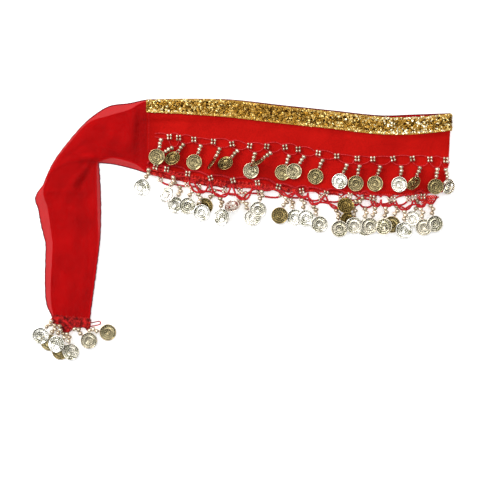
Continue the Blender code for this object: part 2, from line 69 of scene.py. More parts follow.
BandRow = namedtuple("BandRow", "x top bottom braid peek")
BAND = table(
    BandRow,
    (-116.4, 155.8, 68.2, 14.5, 0),
    (-70.8, 156.6, 59.4, 17.5, 0),
    (-16.8, 155.5, 52.8, 20.4, 0.4),
    (43.2, 148.4, 49, 20.4, 1),
    (103.2, 142.1, 44.5, 20.4, 1),
    (163.2, 135.7, 41.9, 20.8, 1.2),
    (205, 135.4, 42.6, 20.6, 2.6),
    (246.4, 139.4, 46.5, 20.2, 0),
)

BandWave = namedtuple("BandWave", "x height width")
BAND_WAVES = table(
    BandWave,
    (-100, 1.2, 12),
    (-38, 0.8, 20),
    (28, 1.1, 22),
    (92, 0.8, 18),
    (150, 1, 22),
    (214, 1.2, 14),
)

# Sections of the tie from the seam to its end
TieRow = namedtuple(
    "TieRow", "outer_x outer_y inner_x inner_y bow rise outer_inset inner_inset"
)
TIE = table(
    TieRow,
    (-116.7, 155.8, -116.7, 68.2, 0, 0, 0.8, 0.8),
    (-127, 153.9, -127, 71.8, 0, 0.3, 4, 6),
    (-138.4, 151.6, -138, 74.9, 0, 0.8, 8, 7.5),
    (-163, 147.6, -156, 79, 0, 1.6, 11, 8),
    (-187.2, 131.2, -168, 80.4, 2, 2.4, 3, 4),
    (-209, 107.3, -172, 80.6, 5, 3.4, 2, 2),
    (-226.5, 84, -173.6, 80.5, 9, 4.8, 3, 2),
    (-237, 63.5, -174.2, 79.6, 11, 6.2, 3, 2),
    (-240.5, 54.5, -174.3, 76.6, 10, 5, 5, 2.5),
    (-250.1, 39.1, -173.4, 68, 3, 3.3, 11, 4),
    (-246.4, 24, -172, 40, 0, 1.2, 11.5, 5),
    (-243, 5, -171.8, 9.6, 0, 0.8, 11, 4),
    (-237.8, -16.3, -173.3, -17, 0, 0.8, 8.7, 2),
    (-238.1, -40, -176.2, -40, 0, 0.5, 8, 1.5),
    (-238.4, -64, -179.2, -64, 0, 0.5, 7, 1.5),
    (-236.8, -88, -182.6, -88, 0, 0.5, 6, 1.5),
    (-229.6, -104.4, -184.8, -108.6, 0, 0.2, 2, 1.5),
)
SEAM_EASE = 14.0
FULL_DROOP = 6.0

Crease = namedtuple("Crease", "from_x from_y to_x to_y height width")
TIE_CREASES = table(
    Crease,
    (-179, 74, -176, 26, 3, 5),
    (-180, 88, -205, 122, 1.6, 7),
    (-164, 90, -150, 128, 1.4, 8),
    (-132, 84, -132, 134, 1.2, 6),
    (-204, 56, -222, 26, 1.6, 7),
    (-228, 8, -226, -70, 0.8, 8),
)

# Crochet nets
THREAD = 2.0  # thickness of the edging's cord on the solids
LOWER_RISE = 6.5
NET_CLIMB = 9.0

LinePoint = namedtuple("LinePoint", "x y")
UPPER_LINE = table(
    LinePoint,
    (-110, 113.5),
    (-89, 111.4),
    (-36.6, 105.6),
    (6.8, 100.6),
    (49, 98.9),
    (88.8, 92),
    (135.4, 85.3),
    (201.4, 85.3),
    (247, 83.4),
)
LOWER_LINE = table(
    LinePoint,
    (-116, 77),
    (-105.8, 75.2),
    (-40, 62.2),
    (16, 56.3),
    (69, 46.7),
    (126.5, 41.2),
    (178, 36.7),
    (218.4, 40.4),
    (236, 42.5),
)
BACK_LINE = table(
    LinePoint,
    (-80, 4.6),
    (0, 7),
    (210, 8),
)

# Bead strands and coins
BEAD = 6.0
FIRST_BEAD = 4.2
SECOND_BEAD = 11.2
STRAND_END = 13.9
COIN = 20.0
COIN_THICK = 0.6
COIN_LEAN = 6.0
TURN_LIFT = 0.5

Drop = namedtuple("Drop", "along depth swing turn lift")
UPPER_DROPS = table(
    Drop,
    (-97.8, 2.5, -16, 0, 4.4),
    (-84, 11, -57, 0, 1.8),
    (-70.8, 5.5, -38, 35, 0),
    (-50.4, 4.5, -23, 0, 1.2),
    (-27.6, 5.5, -28, 72, 0),
    (-6, 5.5, -44, 38, 0),
    (13.2, 6.5, -12, 0, 1.6),
    (33.6, 6.5, -52, 72, 4.6),
    (55.2, 7.5, -22, 0, 0),
    (73.2, 5.5, -35, 0, 1.6),
    (94.8, 5.5, -23, 0, 0),
    (123.6, 6.5, -23, 0, 1.4),
    (138, 6.5, -11, 0, 2.4),
    (163.8, 7, -17, 0, 0),
    (188.6, 7.5, -7, 0, 0),
    (211.8, 8.5, -24, 50, 0),
    (230.5, 9, -4, 0, 2.4),
    (241.2, 9, 7, 42, 0),
)
LOWER_DROPS = table(
    Drop,
    (-112, 3, -24, 0, 4),
    (-82.5, 6, -23, 26, 4),
    (-53.7, 20, 7, 0, 3),
    (-27.9, 21, 3, 14, 3),
    (-1.2, 22, 28, 0, 3),
    (23, 7.7, -15, 0, 5),
    (52.2, 10, -23, 0, 3),
    (69.9, 8.5, 10, 0, 3),
    (83.3, 15, 17, 0, 3),
    (111.8, 17, 6, 0, 3),
    (132.5, 11, -2, 0, 4.3),
    (144, 2, -70, 24, 6.5),
    (158, 10, -18, 0, 3),
    (170, 9, -7, 20, 5.2),
    (192.6, 13.4, -2, 0, 3),
    (212, 12.5, 8, 0, 3),
    (223.5, 10, 11, 0, 4.4),
)
BACK_DROPS = table(
    Drop,
    (-75, 2.7, -16, 0, 0),
    (-61.5, 1, -15, 0, 1.4),
    (-33, 1, -36, 0, 0),
    (5, 1, -50, 40, 0),
    (56.8, 3, 10, 0, 0),
    (128.4, 1, -7, 0, 0),
    (146.5, 9, -3, 0, 0),
    (184.8, 7, -18, 0, 0),
    (209.4, 1.5, -17, 0, 0),
)
BARE_BACK_CELLS = (-92, -47, -14, 32, 80, 104, 166)
TIE_END_DROPS = table(
    Drop,
    (-228.6, 3.6, -38, 0, 3),
    (-219, 8, -12, 14, 4.6),
    (-210.5, 16.5, 8, 0, 3),
    (-203.5, 10, 48, 0, 3),
)
BACK_END_DROPS = table(
    Drop,
    (-225, 8, -20, 0, 1.4),
    (-215, 17, -12, 0, 0),
    (-187, 11, 80, 0, 0),
)
EDGING = 3.6

# What the scene adds
SHEER = 0.35  # thickness of the chiffon shells
HEM = 0.6  # radius of a rolled hem
SEQUIN = 3.4  # diameter
SEQUIN_PITCH = 1.9
SEQUIN_ROWS = 7
CLUSTER_BEAD = 3.9  # diameter
# Beads of a strand: place along it, place to the side, diameter
NEAT_BEADS = ((2.8, 0, 6), (7.2, 0, 5.8), (11.2, 0, 5))
CROWDED_BEADS = ((2.2, -1.1, 6.3), (6.6, 1.1, 6.5), (11, -0.6, 6.1))
THIN_PLY, THICK_PLY = 0.27, 0.68  # radius of one ply of the crochet cord
CORD_TWIST = 3.4  # length of one turn
STITCH_PLY = 0.42
UPPER_COIN = 0.94  # share of the size of the other coins
TURN = 3.0  # length of chiffon round the fold
LAP = 1.5  # how far a tie goes under the band
STITCH = 2.3  # length of a machine stitch
STITCH_GAP = 0.6
SEWING = 0.17  # radius of the sewing thread
STRING = 0.5  # radius of the cord that carries a strand's beads
PLAIN_CELL = 4.6  # depth of a cell of a net that carries no strand
EDGING_ROWS = 7
SEAM_GATHER_SHADE = 26.0  # width of the gathers beside the seam
# Beside the seam the band's front is coloured deeper over this width: gathered plies, with painted
# shade.
SEAM_STITCHES = 2.4  # how far the stitches lie from the seam
HEM_STITCHES = 5.0  # how far they lie from the band's bottom edge
# The coin's ornament
DOTS, DOT_REACH = 18, 7.3
PETALS, PETAL_REACH = 8, 2.6
CUP = 0.8  # depth of the cupped coin
# The camera looks straight down on the middle of the photograph.
PHOTO_X, PHOTO_Y = 7.2, -24.0
CAMERA_HEIGHT = 1.667  # metres
LENS, SENSOR = 100.0, 36.0

# A loop of the edging's cord has worked loose.
LOOSE_LOOP = (
    (-189, -113), (-184, -111.4), (-178, -110.2), (-173.5, -109.2), (-171.6, -110.6),
    (-172.4, -113), (-176, -114.2), (-182, -115.2), (-188, -116.4),
)

# Soft folds that only the thin cloth shows. A height below 0 is a hollow.
TIE_FOLDS = table(
    Crease,
    (-181, 75, -195, 52, -3, 5.5),
    (-234, 46, -190, 46, 0.8, 2.2),
    (-186, 77, -204, 56, 1.6, 4.5),
    (-121, 139, -128, 97, -1.2, 6),
    (-131, 141, -142, 97, 2.2, 8),
    (-196, 120, -146, 118, -1, 5),
    (-190, 108, -150, 92, 0.9, 4),
    (-214, 94, -180, 86, 1, 3),
    (-232, 40, -200, 26, -0.8, 5),
    (-200, 30, -205, -20, 0.8, 6),
    (-186, 20, -186, -60, -0.7, 4),
    (-216, -20, -212, -100, 0.7, 7),
    (-200, -60, -196, -100, -0.6, 6),
)
# Where the tie's cloth is gathered, into the seam and in the bend, it is coloured deeper: for the
# plies that lie on each other, and as painted shade in the seam's hollow and the bend's fold. The
# height is a share.
TIE_GATHER_SHADE = table(
    Crease,
    (-119, 136, -125, 96, 0.55, 13),
    (-183, 66, -192, 46, 0.22, 7),
    (-196, 64, -222, 54, 0.25, 10),
)
BAND_FOLDS = table(
    Crease,
    (-108, 132, -60, 124, -0.7, 6),
    (-20, 126, 60, 118, 0.6, 6),
    (100, 112, 190, 108, 0.7, 6),
    (171, 84, 169, 52, -0.8, 3.5),
    (188, 84, 189, 50, 0.8, 4),
    (226, 108, 232, 60, -0.7, 5),
    (8, 82, 20, 62, -0.7, 4),
    (-62, 88, -50, 66, 0.7, 4),
)


# The scarf's own shape, worked out as for the solids


def ease(share):
    share = min(max(share, 0.0), 1.0)
    return share * share * (3 - 2 * share)


def smooth_value(places, values, at):
    """The value at a place on a smooth curve through the values at the given places."""
    last = len(places) - 1
    at = min(max(at, places[0]), places[-1])
    i = min(max(bisect.bisect_right(places, at) - 1, 0), last - 1)

    def slope(k):
        before, after = max(k - 1, 0), min(k + 1, last)
        return (values[after] - values[before]) / (places[after] - places[before])

    span = places[i + 1] - places[i]
    f = (at - places[i]) / span
    start = (1 + 2 * f) * (1 - f) ** 2 * values[i] + f * (1 - f) ** 2 * span * slope(i)
    end = f * f * (3 - 2 * f) * values[i + 1] - f * f * (1 - f) * span * slope(i + 1)
    return start + end


def column_at(table, column, x):
    return smooth_value([row.x for row in table], [getattr(row, column) for row in table], x)


def section_at(table, place):
    rows = range(len(table))
    return type(table[0])(*(smooth_value(rows, column, place) for column in zip(*table)))


def band_height(x):
    return column_at(BAND, "top", x) - column_at(BAND, "bottom", x)


def over_braid(below):
    share = (below - BRAID_STEP) / (BRAID_STEP_END - BRAID_STEP)
    return (BRAID + GAP) * (1 - ease(share))


def band_wave(x, share):
    return share * sum(w.height * math.exp(-(((x - w.x) / w.width) ** 2)) for w in BAND_WAVES)


def front_top(x, y):
    below = column_at(BAND, "top", x) - y
    share = min(max(below / band_height(x), 0.0), 1.0)
    return over_braid(below) + 2 * CLOTH + GAP + band_wave(x, share)


def fold_place(walked, bend):
    """Where a length walked from the front seam lies: its share along a half, and its turn
    in degrees. The turn at the fold takes up the length bend."""
    if walked < HALF:
        return walked / HALF, 0.0
    if walked < HALF + bend:
        return 1.0, 180.0 * (walked - HALF) / bend
    return max(0.0, (2 * HALF + bend - walked) / HALF), 180.0


def band_point(along, turn, below, share, out):
    """A point of the folded strip, moved out of its middle surface. turn is 0 on the front
    half and 180 on the back half."""
    lean = FOLD_LEAN * share * share
    x = SEAM_X + along * (FOLD_X - lean - SEAM_X)
    table_x = SEAM_X + along * (FOLD_X - SEAM_X)
    on_back = turn / 180.0
    top = column_at(BAND, "top", table_x) + on_back * column_at(BAND, "peek", table_x)
    half_gap = (CLOTH + GAP) / 2
    angle = math.radians(turn)
    middle = over_braid(below) + CLOTH + GAP / 2
    wave = 0.0
    if turn == 0.0:
        wave = band_wave(table_x, share)
        wave += crease_height(x, top - below, BAND_FOLDS) * ease((below - BRAID_STEP) / 6)
    x += (half_gap + out) * math.sin(angle)
    z = middle + (half_gap + out) * math.cos(angle) + wave
    return Vector((x, top - below, z))


def crease_height(x, y, creases=TIE_CREASES):
    total = 0.0
    for crease in creases:
        start = Vector((crease.from_x, crease.from_y))
        line = Vector((crease.to_x, crease.to_y)) - start
        offset = Vector((x, y)) - start
        share = min(max(offset.dot(line) / line.length_squared, 0.0), 1.0)
        away = (offset - line * share).length / crease.width
        total += crease.height * math.exp(-away * away)
    return total


def tie_surface(section, across, front):
    """A point of a tie's middle surface, at a share across from its outer edge."""
    outer = Vector((section.outer_x, section.outer_y))
    inner = Vector((section.inner_x, section.inner_y))
    width = (inner - outer).length
    first, last = section.outer_inset / width, 1 - section.inner_inset / width
    share = across if front else first + (last - first) * across
    onward = Vector(((inner - outer).y, -(inner - outer).x)).normalized()
    place = outer + (inner - outer) * share
    place -= onward * section.bow * (1 - (2 * share - 1) ** 2)
    seam_share = (SEAM_X - section.outer_x) / SEAM_EASE
    z = over_braid(share * width) * (1 - ease(seam_share)) + CLOTH / 2
    if front:
        z += CLOTH + GAP
        belly = 1 - (2 * share - 1) ** 4
        z += section.rise * belly
        z += crease_height(place.x, place.y, TIE_CREASES + TIE_FOLDS) * belly * ease(seam_share)
        if share < first:
            z -= droop(section.outer_inset) * (1 - ease(share / first))
        elif share > last:
            z -= droop(section.inner_inset) * (1 - ease((1 - share) / (1 - last)))
    return Vector((place.x, place.y, z))


def droop(inset):
    return (CLOTH + GAP - FLOOR_GAP) * ease(inset / FULL_DROOP)


def strand_layout(start, drop, base, beads=NEAT_BEADS):
    """A strand's beads as (centre, diameter), its end and direction, and its coin's matrix."""
    swing = math.radians(drop.swing)
    down = Vector((math.sin(swing), -math.cos(swing), 0.0))
    turn = math.radians(drop.turn)
    lean = math.radians(COIN_LEAN - TURN_LIFT * drop.turn)
    side = down.cross(UP)
    axis = (down * math.cos(lean) - Vector((0.0, 0.0, math.sin(lean)))).normalized()
    face = Matrix.Rotation(turn, 3, axis) @ side.cross(axis)
    radius = COIN / 2
    reach = radius * math.sqrt(1 - face.z**2)
    centre_z = base + reach + COIN_THICK / 2 + FLOOR_GAP
    hole_z = centre_z + radius * math.sin(lean)
    bead_z = base + BEAD / 2 + FLOOR_GAP
    second_z = max(bead_z, (bead_z + hole_z) / 2)

    def on_strand(distance, z):
        place = start + down * distance
        return Vector((place.x, place.y, z))

    def height(distance):
        knots = (0.9, FIRST_BEAD, SECOND_BEAD, STRAND_END)
        return float(np.interp(distance, knots, (start.z, bead_z, second_z, hole_z)))

    across = UP.cross(down)
    strung = []
    for along, aside, size in beads:
        centre = on_strand(along, max(height(along), base + size / 2)) + across * aside
        strung.append((centre, size))
    end = on_strand(STRAND_END, hole_z)
    centre = on_strand(STRAND_END + GAP, hole_z) + axis * radius
    turned = Matrix((axis.cross(face).normalized(), -axis, face.normalized())).transposed()
    if turned.determinant() < 0:
        turned.col[0] = -turned.col[0]
    return strung, end, down, Matrix.Translation(centre) @ turned.to_4x4()


# Small tools


def colour(code):
    """An sRGB hex colour as linear values for a shader."""
    parts = [int(code[i : i + 2], 16) / 255 for i in (1, 3, 5)]
    linear = [p / 12.92 if p <= 0.04045 else ((p + 0.055) / 1.055) ** 2.4 for p in parts]
    return (*linear, 1.0)


def grey(level):
    return (level, level, level, 1.0)


def set_inputs(tree, made, inputs):
    """Sets each input of a node to a value or to another node's output."""
    for socket, value in inputs.items():
        if isinstance(value, bpy.types.NodeSocket):
            tree.links.new(value, made.inputs[socket])
        else:
            made.inputs[socket].default_value = value


def add_node(tree, kind, result, inputs=None, **settings):
    """Adds a node with its settings and inputs, and gives the output named result."""
    made = tree.nodes.new(kind)
    for name, value in settings.items():
        setattr(made, name, value)
    set_inputs(tree, made, inputs or {})
    return made.outputs[result]


def new_material(name):
    made = bpy.data.materials.new(name)
    made.use_nodes = True
    return made, made.node_tree, made.node_tree.nodes["Principled BSDF"]


def mark_points(mesh, mark, values):
    kept = mesh.attributes.new(mark, "FLOAT", "POINT")
    kept.data.foreach_set("value", np.array(values, np.float32))


def finish_piece(piece, material, slot, *replaced):
    """Gives a piece its material and its place in the frame, and hides the solids it stands for.
    """
    piece.data.transform(Matrix.Translation(SHIFT) @ Matrix.Scale(MM, 4))
    piece.data.materials.clear()
    piece.data.materials.append(material)
    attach(piece, "root")
    if replaced:
        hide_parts(*replaced)
    return piece


def new_object(name, data):
    made = bpy.data.objects.new(name, data)
    bpy.context.scene.collection.objects.link(made)
    return made


def only(piece):
    bpy.ops.object.select_all(action="DESELECT")
    piece.select_set(True)
    bpy.context.view_layer.objects.active = piece


def edit_all(step, **settings):
    """Runs one step in edit mode on the whole of the active object."""
    bpy.ops.object.mode_set(mode="EDIT")
    bpy.ops.mesh.select_all(action="SELECT")
    step(**settings)
    bpy.ops.object.mode_set(mode="OBJECT")


def lengths_along(points):
    """How far each point lies along the line through them all."""
    walked = [0.0]
    for a, b in zip(points, points[1:]):
        walked.append(walked[-1] + (b - a).length)
    return walked


def cloth_shell(name, columns, rows, place, thickness, **marks):
    """A thin shell of cloth from a grid. Its UV map is in metres along the cloth. Each mark is a
    function of the place on the cloth, kept as an attribute: one where no other ply lies under it,
    for painted light, and one where several do, for a deeper colour with painted shade."""
    bpy.ops.mesh.primitive_grid_add(x_subdivisions=columns, y_subdivisions=rows, size=2)
    piece = bpy.context.object
    piece.name = piece.data.name = name
    cells = [
        (round((v.co.x + 1) / 2 * columns), round((v.co.y + 1) / 2 * rows))
        for v in piece.data.vertices
    ]
    for vertex, (i, j) in zip(piece.data.vertices, cells):
        vertex.co = place(i / columns, j / rows)
    along = lengths_along([place(i / columns, 0.5) for i in range(columns + 1)])
    down = lengths_along([place(0.5, j / rows) for j in range(rows + 1)])
    layer = piece.data.uv_layers[0]
    for loop in piece.data.loops:
        i, j = cells[loop.vertex_index]
        layer.data[loop.index].uv = (along[i] * MM, down[j] * MM)
    for mark, share in marks.items():
        mark_points(piece.data, mark, [share(i / columns, j / rows) for i, j in cells])
    wall = piece.modifiers.new("thickness", "SOLIDIFY")
    wall.thickness = thickness
    wall.offset = 0.0
    only(piece)
    bpy.ops.object.modifier_apply(modifier="thickness")
    edit_all(bpy.ops.mesh.normals_make_consistent, inside=False)
    bpy.ops.object.shade_smooth_by_angle(angle=math.radians(50))
    return piece


def tubes(name, paths, radius):
    """One mesh of six-sided tubes along the paths, closed at their ends."""
    curve = bpy.data.curves.new(name, "CURVE")
    curve.dimensions = "3D"
    curve.bevel_depth = radius
    curve.bevel_resolution = 1
    curve.use_fill_caps = True
    for path in paths:
        spline = curve.splines.new("POLY")
        spline.points.add(len(path) - 1)
        for point, place in zip(spline.points, path):
            point.co = (*place, 1.0)
    piece = new_object(name, curve)
    only(piece)
    bpy.ops.object.convert(target="MESH")
    piece = bpy.context.object
    bpy.ops.object.shade_smooth_by_angle(angle=math.radians(60))
    return piece


def even_path(points, step):
    """The points of a polyline at an even spacing."""
    lengths = lengths_along(points)
    count = max(2, round(lengths[-1] / step))
    placed = []
    for k in range(count + 1):
        at = lengths[-1] * k / count
        i = min(max(bisect.bisect_right(lengths, at) - 1, 0), len(points) - 2)
        span = lengths[i + 1] - lengths[i]
        placed.append(points[i].lerp(points[i + 1], (at - lengths[i]) / span if span else 0.0))
    return placed


def plies(points, ply, twist, step, count=2, phase=0.0):
    """The paths of a cord's plies, wound round the line through the points."""
    middle = even_path(points, step)
    wound = [[] for _ in range(count)]
    walked = 0.0
    for k, place in enumerate(middle):
        if k:
            walked += (place - middle[k - 1]).length
        ahead = middle[min(k + 1, len(middle) - 1)] - middle[max(k - 1, 0)]
        side = ahead.cross(UP).normalized()
        lift = side.cross(ahead).normalized()
        for n in range(count):
            angle = 2 * math.pi * (walked / twist + n / count) + phase
            wound[n].append(place + (side * math.cos(angle) + lift * math.sin(angle)) * ply)
    return wound


def repeat(name, pattern, places, tones):
    """One mesh of many copies of a small one. tone is kept on each copy's points."""
    points = np.array([v.co for v in pattern.vertices])
    corners = [tuple(face.vertices) for face in pattern.polygons]
    placed, faces = [], []
    for i, place in enumerate(places):
        matrix = np.array(place)
        placed.append(points @ matrix[:3, :3].T + matrix[:3, 3])
        faces += [tuple(corner + i * len(points) for corner in face) for face in corners]
    mesh = bpy.data.meshes.new(name)
    mesh.from_pydata(np.concatenate(placed).tolist(), [], faces)
    mark_points(mesh, "tone", np.repeat(tones, len(points)))
    if "relief" in pattern.attributes:
        relief = np.zeros(len(points), np.float32)
        pattern.attributes["relief"].data.foreach_get("value", relief)
        mark_points(mesh, "relief", np.tile(relief, len(places)))
    mesh.polygons.foreach_set("use_smooth", np.ones(len(mesh.polygons), bool))
    return new_object(name, mesh)


def take_mesh(piece):
    """A modelled pattern's mesh, with its object removed."""
    mesh = piece.data
    mesh.transform(piece.matrix_world)
    bpy.data.objects.remove(piece)
    return mesh


# Patterns of the materials


def noise(tree, place, scale, detail, distortion=0.0):
    """A cloudy pattern, its scale in patches a metre."""
    inputs = {"Vector": place, "Scale": scale, "Detail": detail, "Distortion": distortion}
    return add_node(tree, "ShaderNodeTexNoise", "Fac", inputs)


def bump(tree, height, strength, distance, below=None):
    """Relief from a pattern, its distance in metres, on the relief below it."""
    inputs = {"Height": height, "Strength": strength, "Distance": distance}
    if below is not None:
        inputs["Normal"] = below
    return add_node(tree, "ShaderNodeBump", "Normal", inputs)


def ramp(tree, share, *stops):
    """A colour between stops, each a place from 0 to 1 and a colour."""
    made = tree.nodes.new("ShaderNodeValToRGB")
    tree.links.new(share, made.inputs["Fac"])
    elements = made.color_ramp.elements
    for element, (place, shade) in zip(elements, (stops[0], stops[-1])):
        element.position = place
        element.color = shade
    for place, shade in stops[1:-1]:
        elements.new(place).color = shade
    return made.outputs["Color"]


def mapped(tree, value, low, high, to_low, to_high):
    """Stretches the values from low to high over those from to_low to to_high."""
    inputs = {"Value": value, "From Min": low, "From Max": high}
    inputs |= {"To Min": to_low, "To Max": to_high}
    return add_node(tree, "ShaderNodeMapRange", "Result", inputs)


def mixed(tree, share, first, second, blend="MIX"):
    inputs = {"Factor": share, "A": first, "B": second}
    settings = {"data_type": "RGBA", "blend_type": blend}
    return add_node(tree, "ShaderNodeMix", "Result", inputs, **settings)


def worked_out(tree, operation, first, second):
    return add_node(tree, "ShaderNodeMath", 0, {0: first, 1: second}, operation=operation)


def mark_of(tree, mark):
    """A value that is kept on the piece's points."""
    return add_node(tree, "ShaderNodeAttribute", "Fac", attribute_name=mark)


# Materials


def sheer_chiffon(name, alpha, deep, pale):
    """Polyester chiffon, dyed: a matt open weave that lets the white below through. Its colour
    also holds painted light where one ply lies alone, and painted shade where the cloth is
    gathered.
    """
    made, tree, shader = new_material(name)
    uv = add_node(tree, "ShaderNodeUVMap", "UV")
    clouds = noise(tree, uv, 26.0, 4.0)
    dyed = ramp(tree, clouds, (0.3, colour(deep)), (0.7, colour(pale)))
    # Where the cloth is gathered, several plies lie on each other and look deeper. The deeper
    # colour there is also painted shade of the gathers' folds.
    deeper_and_shaded = mixed(tree, mark_of(tree, "gathered"), dyed, colour("#920002"))
    # Painted light: where one ply lies alone it is coloured a lighter red, as if the white below
    # shone back through it.
    glow = mixed(tree, mark_of(tree, "alone"), deeper_and_shaded, colour("#CE0A10"))
    # The weave's threads are 0.15 mm apart and too fine to show, so it is drawn at 1.2 mm.
    weft, warp = (
        add_node(tree, "ShaderNodeTexWave", "Fac", {"Vector": uv, "Scale": 260.0},
                 wave_type="BANDS", bands_direction=direction)
        for direction in "XY"
    )
    weave = worked_out(tree, "ADD", weft, warp)
    # The open places between the threads are darker.
    shade = mapped(tree, weave, 0.2, 1.8, 0.82, 1.2)
    # Soft rumples about 20 mm apart, where the cloth was folded away in its bag
    rumpled = bump(tree, noise(tree, uv, 48.0, 3.0, 0.6), 0.5, 0.004)
    # Crepe grain, about 3 mm
    crepe = bump(tree, noise(tree, uv, 340.0, 3.0, 0.8), 0.3, 0.0008, rumpled)
    set_inputs(tree, shader, {
        "Base Color": mixed(tree, 1.0, glow, shade, "MULTIPLY"),
        "Normal": bump(tree, weave, 0.35, 0.0002, crepe),
        "Roughness": 0.72,
        "Specular IOR Level": 0.04,
        "Alpha": alpha,
    })
    return made


def twisted_thread(name, dark, light, grain=900.0):
    """Mercerised cotton thread: matt. Its colour holds painted shade, darker as in the furrows
    between its plies, and painted highlights in patches where it would catch the light; a coarser
    grain gives larger patches."""
    made, tree, shader = new_material(name)
    fluff_and_painted_light = noise(tree, add_node(tree, "ShaderNodeTexCoord", "Object"), grain, 2.0)
    set_inputs(tree, shader, {
        "Base Color": ramp(tree, fluff_and_painted_light, (0.35, colour(dark)), (0.65, colour(light))),
        "Normal": bump(tree, fluff_and_painted_light, 0.3, 0.0003),
        "Roughness": 0.7,
        "Sheen Weight": 0.04,
        "Specular IOR Level": 0.15,
    })
    return made


def gold_sequins(name):
    """Metallised plastic film, punched: mirror-bright, and each sequin its own tone at random,
    from painted shade at the darkest stop to painted glints at the lightest.
    """
    made, tree, shader = new_material(name)
    tones = ((0.0, "#2E1806"), (0.5, "#A87A2A"), (0.85, "#F4DC90"), (1.0, "#FFF6CE"))
    stops = [(place, colour(code)) for place, code in tones]
    set_inputs(tree, shader, {
        "Base Color": ramp(tree, mark_of(tree, "tone"), *stops),
        "Metallic": 1.0,
        "Roughness": 0.22,
    })
    return made


def stamped_plate(name):
    """Thin steel, stamped and plated pale gold: bright where raised, darker in the hollows, from
    tarnish and as painted shade of the relief. Each coin's tone runs from olive to white; the
    white stands in for a painted reflection of the lamps, with some plating wear.
    """
    made, tree, shader = new_material(name)
    tone = mark_of(tree, "tone")
    place = add_node(tree, "ShaderNodeTexCoord", "Object")
    blotch = noise(tree, place, 520.0, 2.0)
    # Colours of the raised parts and of the hollows, by the coin's tone: the hollows hold tarnish
    # and painted shade, and the whitest tones a painted reflection.
    raised, hollow = (
        ramp(tree, tone, *((k / 2, colour(code)) for k, code in enumerate(codes)))
        for codes in (("#9C8040", "#C2AE82", "#FFFDF4"), ("#0A0803", "#44462A", "#6C6844"))
    )
    spread = mapped(tree, blotch, 0.44, 0.58, 0.0, 0.45)
    stamped = worked_out(tree, "MAXIMUM", mark_of(tree, "relief"), spread)
    # Painted reflection: in patches about 10 mm wide the hollows are painted nearly as bright as
    # the raised parts, the more so on whiter coins.
    glare_patches = mapped(tree, noise(tree, place, 85.0, 1.0), 0.4, 0.5, 0.0, 0.9)
    painted_glare = worked_out(tree, "MULTIPLY", glare_patches, mapped(tree, tone, 0.45, 0.9, 0.2, 1.0))
    height = worked_out(tree, "MAXIMUM", stamped, painted_glare)
    set_inputs(tree, shader, {
        "Base Color": mixed(tree, height, hollow, raised),
        "Normal": bump(tree, blotch, 0.5, 0.0004),
        "Metallic": 1.0,
        "Roughness": 0.18,
    })
    return made


def plated_bead(name):
    """Plastic bead with a vacuum-plated pale gold skin: glossy, slightly worn."""
    made, tree, shader = new_material(name)
    # Both colours are pale gold, warmed a little towards red as a painted reflection of the red
    # cloth.
    stops = (0.0, colour("#A68C6C")), (1.0, colour("#F8EAD4"))
    set_inputs(tree, shader, {
        "Base Color": ramp(tree, mark_of(tree, "tone"), *stops),
        "Metallic": 0.82,
        "Roughness": 0.12,
    })
    return made


def white_paper(name):
    """Matt white backdrop paper, lit a little from within so that it stays white."""
    made, tree, shader = new_material(name)
    set_inputs(tree, shader, {
        "Base Color": colour("#F4F4F4"),
        "Roughness": 0.9,
        "Emission Color": colour("#FFFFFF"),
        "Emission Strength": 0.35,
        "Specular IOR Level": 0.0,
    })
    return made


# Patterns that repeat


def model_sequin():
    """A cupped round sequin with eight facets, lying in its own plane."""
    bpy.ops.mesh.primitive_circle_add(vertices=8, radius=SEQUIN / 2, fill_type="NGON")
    sequin = bpy.context.object
    bpy.ops.object.mode_set(mode="EDIT")
    bpy.ops.mesh.select_all(action="SELECT")
    bpy.ops.mesh.inset(thickness=SEQUIN * 0.34)
    bpy.ops.transform.translate(value=(0.0, 0.0, -0.3))
    bpy.ops.object.mode_set(mode="OBJECT")
    wall = sequin.modifiers.new("film", "SOLIDIFY")
    wall.thickness = 0.12
    bpy.ops.object.modifier_apply(modifier="film")
    return take_mesh(sequin)


def model_bead(diameter):
    """A round bead, pressed a little flat where the thread goes in."""
    bpy.ops.mesh.primitive_uv_sphere_add(segments=14, ring_count=9, radius=diameter / 2)
    edit_all(bpy.ops.transform.resize, value=(1.0, 1.0, 0.78))
    return take_mesh(bpy.context.object)


